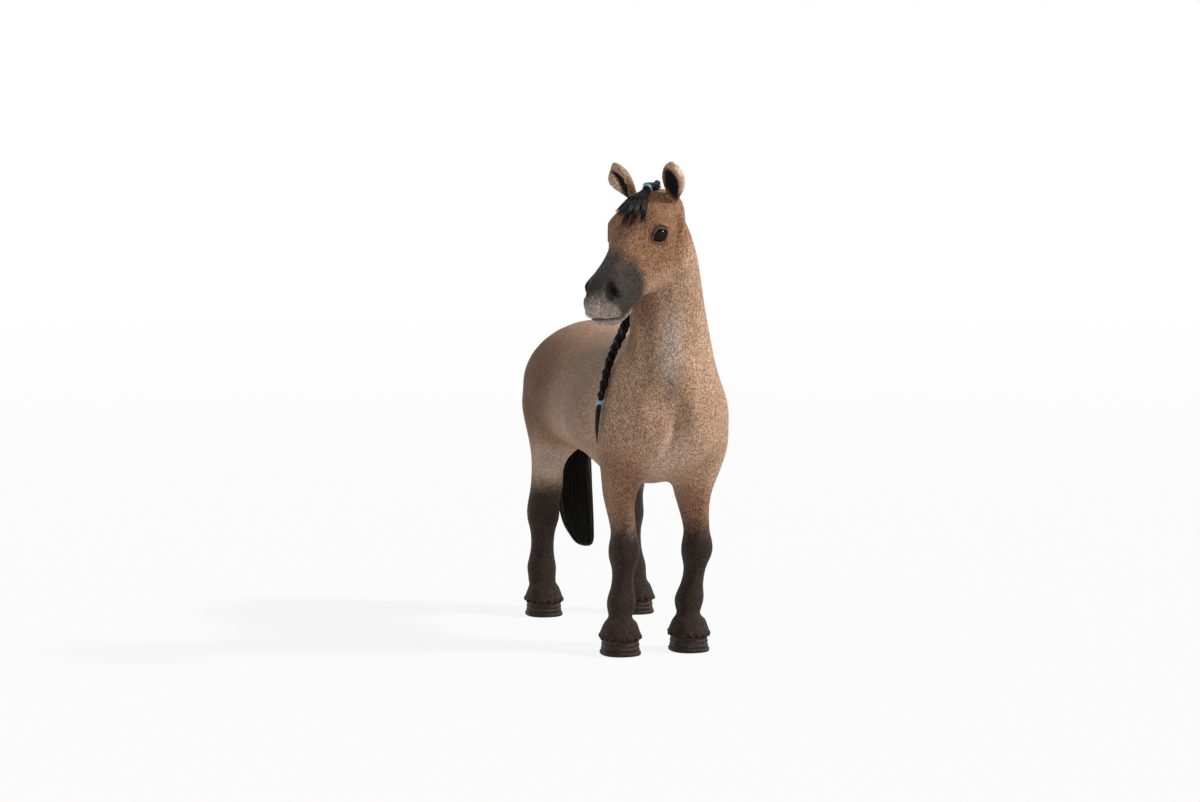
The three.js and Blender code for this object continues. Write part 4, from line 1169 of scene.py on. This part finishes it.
def distance_along(centres):
    """How far along the line each of its stations is."""
    return np.concatenate(([0], np.cumsum(np.linalg.norm(np.diff(centres, axis=0), axis=1))))


def sweep(bm, centres, across, out, sides, swell):
    """A closed form: a ring of points carried along the centres by extrusion. Across and out are each
    station's half width and half thickness, and swell gives each station's rim by its angles."""
    turn = bm.verts.layers.float.get("turn") or bm.verts.layers.float.new("turn")
    lay = bm.verts.layers.float_vector.get("lay") or bm.verts.layers.float_vector.new("lay")
    walked = distance_along(centres)
    ring = bmesh.ops.create_circle(bm, cap_ends=False, radius=1, segments=sides)["verts"]
    for vert in ring:
        vert[turn] = math.atan2(vert.co.y, vert.co.x)
    edges = list({edge for vert in ring for edge in vert.link_edges})
    first = list(edges)
    for station in range(len(centres)):
        if station:
            grown = bmesh.ops.extrude_edge_only(bm, edges=edges)["geom"]
            ring = [item for item in grown if isinstance(item, bmesh.types.BMVert)]
            edges = [item for item in grown if isinstance(item, bmesh.types.BMEdge) and item.is_boundary]
        for vert in ring:
            angle = vert[turn]
            side, face = math.cos(angle), math.sin(angle)
            size = swell(angle, station)
            vert.co = Vector(centres[station] + size * (side * across[station] + face * out[station]))
            vert[lay] = Vector((side, face, walked[station] / (LAY_LENGTH * MM)))
    for rim in (first, edges):
        bmesh.ops.contextual_create(bm, geom=rim)


def side_vectors(centres, outward):
    """For each station the ways across and out, square to the line."""
    way = unit(np.gradient(centres, axis=0))
    across = unit(np.cross(way, outward))
    return across, unit(np.cross(across, way))


def finished_sweep(name, bm):
    """The bmesh as an object, with its faces turned outwards."""
    bmesh.ops.recalc_face_normals(bm, faces=bm.faces)
    bmesh.ops.triangulate(bm, faces=[face for face in bm.faces if len(face.verts) > 4])
    return new_object(name, bm)


# Eyes

# The eyeball's half sizes along its own axes and how deep its middle lies, in millimetres
EYEBALL_HALF = (2.05, 1.62, 1.15)
EYEBALL_SUNK = 0.66


class TOYHORSE_OT_eyes(Operator):
    """Add the two glossy eyes"""

    bl_idname = "toyhorse.add_eyes"
    bl_label = "Eyes"

    def execute(self, context):
        centre, along, out_way = EYE[:3]
        axes = own_axes(along, out_way)
        middle = np.array(centre) - EYEBALL_SUNK * axes[2]
        bm = bmesh.new()
        for side in (1, -1):
            flip = np.array((1, side, 1))
            ball = bmesh.ops.create_uvsphere(bm, u_segments=32, v_segments=20, radius=1)["verts"]
            for vert in ball:
                where = middle + (np.array(vert.co) * EYEBALL_HALF) @ axes
                vert.co = Vector((np.array(POLL) + (where * flip) @ np.array(HEAD_AXES)) * MM)
        bmesh.ops.recalc_face_normals(bm, faces=bm.faces)
        fit_out(new_object("eyes", bm), glossy_eye())
        return {"FINISHED"}


# Hooves and the hair over them

HOOF_STEPS = 44
# How much narrower a hoof is at its top, and how wide its rim at the sole is, as shares of its width
HOOF_TAPER = 0.07
SHOE_SIZE = 1.03


def oval(angle, square):
    """The rim of an oval whose sides are fuller by square."""
    return (abs(math.cos(angle)) ** square + abs(math.sin(angle)) ** square) ** (-1 / square)


def hoof_form(bm, centre, settings):
    """One hoof: a rim at the sole, growth ridges up the wall, and a rounded top under the hair."""
    wall_height = settings.height - settings.shoe
    heights = np.linspace(0, settings.height, HOOF_STEPS + 1)
    sizes = []
    for height in heights:
        size = 1.0 - HOOF_TAPER * height / settings.height
        if height < settings.shoe:
            inside = height / settings.shoe
            size = SHOE_SIZE + 0.012 * math.sin(math.pi * inside) - 0.03 * max(0, 1 - 6 * inside)
        else:
            phase = (height - settings.shoe) / wall_height * (settings.ridges + 0.5)
            groove = abs(math.sin(math.pi * phase)) ** 0.6
            size -= settings.ridge_depth / (settings.width / 2) * (1 - groove)
        sizes.append(size)
    centres = np.array([(centre[0] * MM, centre[1] * MM, height) for height in heights])
    across = np.array([(settings.width / 2 * size, 0, 0) for size in sizes])
    out = np.array([(0, settings.length / 2 * size, 0) for size in sizes])
    sweep(bm, centres, across, out, 72, lambda angle, station: oval(angle, 2.35))


def hoof_hair(bm, centre, pastern, settings, seed):
    """The bell of hair over one hoof: locks that run down and out and end in a ragged edge."""
    low, high, low_half, high_half = pastern
    drop = settings.hair_drop / MM
    # Each station's middle, its height, and its half width and half length
    stations = (
        (*high, 11.6, high_half[0] * 0.93, high_half[1] * 0.93),
        (*high, 10.2, high_half[0] * 0.95, high_half[1] * 0.95),
        (*low, 8.3, low_half[0] * 1.03, low_half[1] * 1.03),
        (centre[0], centre[1] + 0.8, 6.8, 3.1, 3.65),
        (centre[0], centre[1] + 0.2, 5.3, 3.85, 4.45),
        (*centre, drop + 0.55, 4.55, 5.12),
        (*centre, drop, 4.6, 5.16),
        (*centre, drop - 0.1, 4.35, 4.9),
        (*centre, drop + 0.2, 3.7, 4.3),
    )
    rows = line_through(stations, 5)
    across = np.array([(row[3] * MM, 0, 0) for row in rows])
    out = np.array([(0, row[4] * MM, 0) for row in rows])
    last = len(rows) - 1

    def lock(angle, station):
        share = rise(np.array(station / last), 0.25, 0.75)
        wander = 0.5 * math.sin(2 * angle + seed) + 0.35 * math.sin(5 * angle + 2 * seed)
        flute = 0.022 * math.cos(17 * angle + 2 * wander) + 0.016 * math.cos(29 * angle + 3 * wander + seed)
        return oval(angle, 2.2) * (1 + float(share) * flute)

    first = len(bm.verts)
    sweep(bm, rows[:, :3] * MM, across, out, 120, lock)
    bm.verts.ensure_lookup_table()
    turn = bm.verts.layers.float["turn"]
    for vert in list(bm.verts)[first:]:
        angle = vert[turn]
        low_part = fall(np.array(vert.co.z / MM), drop + 0.2, drop + 1.6)
        ragged = 0.2 * math.cos(17 * angle + seed) + 0.14 * math.cos(11 * angle + 2 * seed)
        ragged += 0.1 * math.cos(29 * angle)
        vert.co.z += float(low_part) * ragged * MM


class TOYHORSE_OT_hooves(Operator):
    """Add the four ridged hooves and the hair over them"""

    bl_idname = "toyhorse.add_hooves"
    bl_label = "Hooves"

    def execute(self, context):
        settings = context.scene.toyhorse_hooves
        groups = shared_groups()
        horn = hoof_horn(groups, settings)
        coat = bpy.data.materials["painted_coat"]
        for seed, (leg, centre) in enumerate(HOOVES.items()):
            bm = bmesh.new()
            hoof_form(bm, centre, settings)
            fit_out(finished_sweep(leg + "_hoof", bm), horn)
            bm = bmesh.new()
            hoof_hair(bm, centre, PASTERNS[leg], settings, 1.3 * seed)
            fit_out(finished_sweep(leg + "_hoof_hair", bm), coat)
        return {"FINISHED"}


# The tail

# The core's size within the tail's outline, and the turn from one lock to the next
CORE_SIZE = 0.95
GOLDEN_SHARE = 0.618034
LOCK_STEPS = 34


def tail_core(bm, rows):
    """The tail's fluted core."""
    centres = rows[:, :3] * MM
    across = np.tile((1.0, 0, 0), (len(rows), 1))
    out = unit(np.cross(across, unit(np.gradient(centres, axis=0))))
    last = len(rows) - 1

    def flutes(angle, station):
        share = station / last
        drift = angle + 0.25 * math.sin(2.5 * share + angle) + 0.12 * math.sin(9 * share + 2 * angle)
        groove = 0.028 * math.cos(13 * drift) + 0.02 * math.cos(23 * drift + 1.2)
        groove += 0.011 * math.cos(41 * drift)
        return 1 + groove * min(1, 6 * share)

    across = across * rows[:, 3:4] * MM * CORE_SIZE
    out = out * rows[:, 4:5] * MM * CORE_SIZE
    sweep(bm, centres, across, out, 150, flutes)


def tail_lock(bm, rows, number):
    """One lock lying on the tail, from under the dock to its own end near the tip."""
    spread = 2 * math.pi * number * GOLDEN_SHARE
    begin = 0.06 + 0.3 * ((number * 0.37) % 1)
    finish = 0.80 + 0.2 * ((number * 0.71) % 1)
    centres, halves = [], []
    for share in np.linspace(0, 1, LOCK_STEPS + 1):
        at = (begin + (finish - begin) * share) * (len(rows) - 1)
        index = min(int(at), len(rows) - 2)
        row = rows[index] + (rows[index + 1] - rows[index]) * (at - index)
        angle = spread + 0.2 * math.sin(4 * share + number) + 0.25 * share
        size = 0.87 + 0.03 * math.sin(5 * share + 2 * number)
        from_middle = (size * row[3] * math.cos(angle), size * row[4] * math.sin(angle), 0)
        centres.append(row[:3] + from_middle)
        halves.append(0.62 * min(1, 7 * share + 0.12, 4.5 * (1 - share) + 0.06))
    outward = unit(np.array([(math.cos(spread), math.sin(spread), 0.05)] * len(centres)))
    centres = np.array(centres) * MM
    across, out = side_vectors(centres, outward)
    halves = np.array(halves)[:, None] * MM

    def hairs(angle, station):
        return 1 + 0.1 * math.cos(5 * angle + number + 0.04 * station)

    sweep(bm, centres, across * halves * 1.25, out * halves * 0.75, 16, hairs)


class TOYHORSE_OT_tail(Operator):
    """Add the hanging tail of fluted hair and loose locks"""

    bl_idname = "toyhorse.add_tail"
    bl_label = "Tail"

    def execute(self, context):
        settings = context.scene.toyhorse_hair
        rows = line_through(TAIL_LINE, 6)
        bm = bmesh.new()
        tail_core(bm, rows)
        for number in range(settings.tail_locks):
            tail_lock(bm, rows, number)
        material = black_hair("tail_hair", settings, 0.0)
        fit_out(finished_sweep("tail_hair", bm), material, ["tail"])
        return {"FINISHED"}


# The plait and the forelock

# How far a strand swings from the middle, as a share of the whole width
STRAND_SHARE = 0.27
TIE_STEPS = 40


def fluted(count, depth, seed):
    """A rim with fine hairs along it."""
    def rim(angle, station):
        finer = math.cos((2 * count + 1) * angle + 0.12 * station + seed)
        return 1 + depth * math.cos(count * angle + seed) + 0.5 * depth * finer

    return rim


def plait_strand(bm, rows, number, settings):
    """One of the plait's three strands: it weaves from side to side and over the others as far as the tie,
    then hangs beside them in the loose end."""
    centres = rows[:, :3] * MM
    across, out = side_vectors(centres, rows[:, 3:])
    walked = distance_along(centres)
    tied = walked[-1] - TUFT * MM
    phase = 2 * math.pi * (np.minimum(walked - tied, 0) / (3 * settings.lobe) + number / 3)
    pinch = 1 - 0.5 * np.clip(1 - np.abs(walked - tied) / (1.8 * MM), 0, 1)
    crown = np.interp(walked / tied, (0, 0.25, 0.7, 1.0), (0.6, 1.0, 1.0, 0.72))
    end = np.clip((walked[-1] - walked) / (8 * MM), 0.06, 1) ** 0.7
    loose = walked > tied
    spread = pinch * crown * np.where(loose, end, 1.0)
    half_width = settings.plait_width * STRAND_SHARE
    half_thickness = settings.plait_thickness * STRAND_SHARE
    swing = (half_width * spread * np.sin(phase))[:, None]
    weave = (half_thickness * spread * np.where(loose, 0.3, 1.0) * np.sin(2 * phase))[:, None]
    path = centres + across * swing + out * weave
    half = (pinch * crown * np.where(loose, 1.4 * end, 1.0))[:, None]
    side, face = side_vectors(path, out)
    sweep(bm, path, side * half * half_width, face * half * half_thickness, 24, fluted(6, 0.1, number))


class TOYHORSE_OT_plait(Operator):
    """Add the mane's plait of three strands, with its loose end"""

    bl_idname = "toyhorse.add_plait"
    bl_label = "Mane plait"

    def execute(self, context):
        settings = context.scene.toyhorse_hair
        rows = line_through(PLAIT_LINE, 14)
        bm = bmesh.new()
        for number in range(3):
            plait_strand(bm, rows, number, settings)
        material = black_hair("plait_hair", settings, 0.25)
        fit_out(finished_sweep("mane_plait_hair", bm), material, ["mane_plait"])
        return {"FINISHED"}


def forelock_strand(bm, points, number, settings):
    """One strand of the forelock: three fine locks, knotted behind the tie, that part at the tip."""
    tie = np.array(FORELOCK_TIE[0])
    crown = np.array(PLAIT_LINE[0][:3])
    from_middle = number - 2
    aside = from_middle * np.array(HEAD_AXES[1])
    raised = np.array(HEAD_AXES[2])
    begin = crown + 0.45 * aside - 0.4 * raised
    knot = 0.4 * crown + 0.6 * tie + 0.5 * aside + (0.55 - 0.12 * abs(from_middle)) * raised
    rows = line_through((begin, knot, tie + 0.3 * aside, *points), 8)
    centres = rows * MM
    across, out = side_vectors(centres, np.tile(HEAD_AXES[2], (len(rows), 1)))
    share = np.linspace(0, 1, len(rows))
    taper = np.interp(share, (0, 0.1, 0.2, 0.32, 0.45, 0.75, 1), (0.6, 1.5, 1.6, 0.85, 1.0, 1.05, 0.1))
    taper = taper * (1 + np.where(share < 0.28, 0.22, 0.0) * np.cos(40 * share + 2 * number))
    half = (taper * settings.lock_width * 0.25)[:, None]
    for lock in (-1, 0, 1):
        apart = np.interp(share, (0, 0.33, 1), (0.5, 0.4, 1.25)) * (1 + 0.2 * math.sin(number + lock))
        aside_by = (lock * settings.lock_width * STRAND_SHARE * apart)[:, None]
        path = centres + across * aside_by - out * (abs(lock) * 0.12 * MM)
        sweep(bm, path, across * half, out * half * 1.1, 14, fluted(4, 0.09, number + lock))


class TOYHORSE_OT_forelock(Operator):
    """Add the forelock's strands"""

    bl_idname = "toyhorse.add_forelock"
    bl_label = "Forelock"

    def execute(self, context):
        settings = context.scene.toyhorse_hair
        bm = bmesh.new()
        for number, points in enumerate(FORELOCK_STRANDS):
            forelock_strand(bm, points, number, settings)
        material = black_hair("forelock_hair", settings, 0.75)
        fit_out(finished_sweep("forelock_hair", bm), material, ["forelock"])
        return {"FINISHED"}


def tie_form(place, way, half_width, radius):
    """A wound tie: a band of two turns round the hair."""
    bm = bmesh.new()
    way = unit(np.array(way))
    first = unit(np.cross(way, (0.31, 0.21, 0.93)))
    second = np.cross(way, first)
    angles = np.linspace(0, 2 * math.pi, TIE_STEPS + 1)
    outward = np.array([math.cos(a) * first + math.sin(a) * second for a in angles])
    across = np.tile(way, (TIE_STEPS + 1, 1)) * half_width * 0.62 * MM
    for turn in (-0.5, 0.5):
        centres = (np.array(place) + radius * outward + turn * half_width * way) * MM
        sweep(bm, centres, across, outward * 0.2 * MM, 12, lambda angle, station: 1.0)
    return bm


class TOYHORSE_OT_ties(Operator):
    """Add the pale blue ties of the plait and the forelock"""

    bl_idname = "toyhorse.add_ties"
    bl_label = "Ties"

    def execute(self, context):
        paint = tie_paint(context.scene.toyhorse_hair)
        for node, (place, way), half_width, radius in (
            ("plait_tie", PLAIT_TIE, 0.42, 0.55),
            ("forelock_tie", FORELOCK_TIE, 0.26, 0.98),
        ):
            piece = finished_sweep(node + "_band", tie_form(place, way, half_width, radius))
            fit_out(piece, paint, [node])
        return {"FINISHED"}


# The stage

# Where the floor fades into the backdrop, in metres from the figure
FLOOR_FADE = (0.1, 2.6)


def rays_to_backdrop(tree):
    """1 for the rays that show the white backdrop: straight from the camera, reflected or through glass."""
    rays = add_node(tree, "ShaderNodeLightPath").outputs
    seen = number_math(tree, "MAXIMUM", rays["Is Camera Ray"], rays["Is Glossy Ray"])
    return number_math(tree, "MAXIMUM", seen, rays["Is Transmission Ray"])


def floor_material(settings):
    """A white floor that keeps the figure's shadow and meets the white backdrop far away."""
    made, tree, shader = new_material("white_floor", Roughness=0.9, Specular_IOR_Level=0.0)
    shader.inputs["Base Color"].default_value = (*(settings.floor_level,) * 3, 1.0)
    from_figure = vector_math(tree, "LENGTH", add_node(tree, "ShaderNodeTexCoord").outputs["Object"])
    mask = ranged(tree, from_figure, *FLOOR_FADE, way="SMOOTHSTEP")
    backdrop = {"Color": (*(settings.backdrop,) * 3, 1.0), "Strength": 1.0}
    glow = add_node(tree, "ShaderNodeEmission", backdrop).outputs[0]
    lift = number_math(tree, "MULTIPLY", rays_to_backdrop(tree), settings.floor_glow)
    share = number_math(tree, "MULTIPLY_ADD", number_math(tree, "SUBTRACT", 1.0, mask), lift, mask)
    blend = add_node(tree, "ShaderNodeMixShader", {0: share, 1: shader.outputs[0], 2: glow})
    tree.links.new(blend.outputs[0], tree.nodes["Material Output"].inputs["Surface"])
    return made


def white_room(settings):
    """Even room light, and a white backdrop to the camera and in reflections."""
    world = bpy.data.worlds.new("white_room")
    world.use_nodes = True
    tree = world.node_tree
    tree.nodes.clear()
    lit, shown = (
        add_node(tree, "ShaderNodeBackground", {"Color": (1, 1, 1, 1), "Strength": strength}).outputs[0]
        for strength in (settings.sky, settings.backdrop)
    )
    blend = add_node(tree, "ShaderNodeMixShader", {0: rays_to_backdrop(tree), 1: lit, 2: shown})
    tree.links.new(blend.outputs[0], add_node(tree, "ShaderNodeOutputWorld").inputs["Surface"])
    bpy.context.scene.world = world


# The photo's middle row, its horizon's row and its focal length, in pixels
MIDDLE_ROW = 401
HORIZON_ROW = 223
FOCAL_PIXELS = 2520
# The camera's turn, tilt and place in millimetres, and the way from the figure to the lamp
CAMERA_YAW = math.radians(16.8)
CAMERA_PITCH = math.atan((MIDDLE_ROW - HORIZON_ROW) / FOCAL_PIXELS)
CAMERA_PLACE = (-169.45, -549.15, 95.6)
LAMP_WAY = (0.894, -0.447, 0.77)


class TOYHORSE_OT_stage(Operator):
    """Add the white floor, the soft lamp, the room light and the camera"""

    bl_idname = "toyhorse.add_stage"
    bl_label = "Stage"

    def execute(self, context):
        settings = context.scene.toyhorse_stage
        bm = bmesh.new()
        bmesh.ops.create_grid(bm, x_segments=8, y_segments=8, size=settings.floor_size)
        floor = new_object("floor", bm)
        floor.data.materials.append(floor_material(settings))
        lamp = bpy.data.objects.new("soft_lamp", bpy.data.lights.new("soft_lamp", "SUN"))
        lamp.data.energy = settings.lamp
        lamp.data.angle = settings.lamp_spread
        lamp.rotation_euler = Vector(LAMP_WAY).to_track_quat("Z", "Y").to_euler()
        context.scene.collection.objects.link(lamp)
        white_room(settings)
        camera = bpy.data.objects.new("camera", bpy.data.cameras.new("camera"))
        camera.data.lens = settings.lens
        camera.data.sensor_width = 36
        camera.data.clip_start = 0.01
        camera.location = Vector(CAMERA_PLACE) * MM
        level = math.cos(CAMERA_PITCH)
        look = Vector((math.sin(CAMERA_YAW) * level, math.cos(CAMERA_YAW) * level, -math.sin(CAMERA_PITCH)))
        camera.rotation_euler = look.to_track_quat("-Z", "Y").to_euler()
        context.scene.collection.objects.link(camera)
        context.scene.camera = camera
        context.scene.view_settings.view_transform = "Standard"
        return {"FINISHED"}


class TOYHORSE_PT_panel(Panel):
    """Lists the figure's pieces in the sidebar"""

    bl_label = "Toy horse"
    bl_idname = "TOYHORSE_PT_panel"
    bl_space_type = "VIEW_3D"
    bl_region_type = "UI"
    bl_category = "Toy horse"

    def draw(self, context):
        for operator in OPERATORS:
            self.layout.operator(operator.bl_idname)


OPERATORS = (
    TOYHORSE_OT_skin,
    TOYHORSE_OT_eyes,
    TOYHORSE_OT_hooves,
    TOYHORSE_OT_tail,
    TOYHORSE_OT_plait,
    TOYHORSE_OT_forelock,
    TOYHORSE_OT_ties,
    TOYHORSE_OT_stage,
)
SETTINGS = {
    "toyhorse_skin": SkinSettings,
    "toyhorse_hooves": HoofSettings,
    "toyhorse_hair": HairSettings,
    "toyhorse_stage": StageSettings,
}


def register():
    """Registers the settings, the operators and the panel."""
    for name, group in SETTINGS.items():
        bpy.utils.register_class(group)
        setattr(bpy.types.Scene, name, PointerProperty(type=group))
    for operator in OPERATORS:
        bpy.utils.register_class(operator)
    bpy.utils.register_class(TOYHORSE_PT_panel)


def unregister():
    """Takes the panel, the operators and the settings away again."""
    bpy.utils.unregister_class(TOYHORSE_PT_panel)
    for operator in reversed(OPERATORS):
        bpy.utils.unregister_class(operator)
    for name, group in reversed(SETTINGS.items()):
        delattr(bpy.types.Scene, name)
        bpy.utils.unregister_class(group)


def main():
    """Makes every piece in order."""
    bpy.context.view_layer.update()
    register()
    bpy.ops.toyhorse.add_skin()
    bpy.ops.toyhorse.add_eyes()
    bpy.ops.toyhorse.add_hooves()
    bpy.ops.toyhorse.add_tail()
    bpy.ops.toyhorse.add_plait()
    bpy.ops.toyhorse.add_forelock()
    bpy.ops.toyhorse.add_ties()
    bpy.ops.toyhorse.add_stage()


if __name__ == "__main__":
    main()
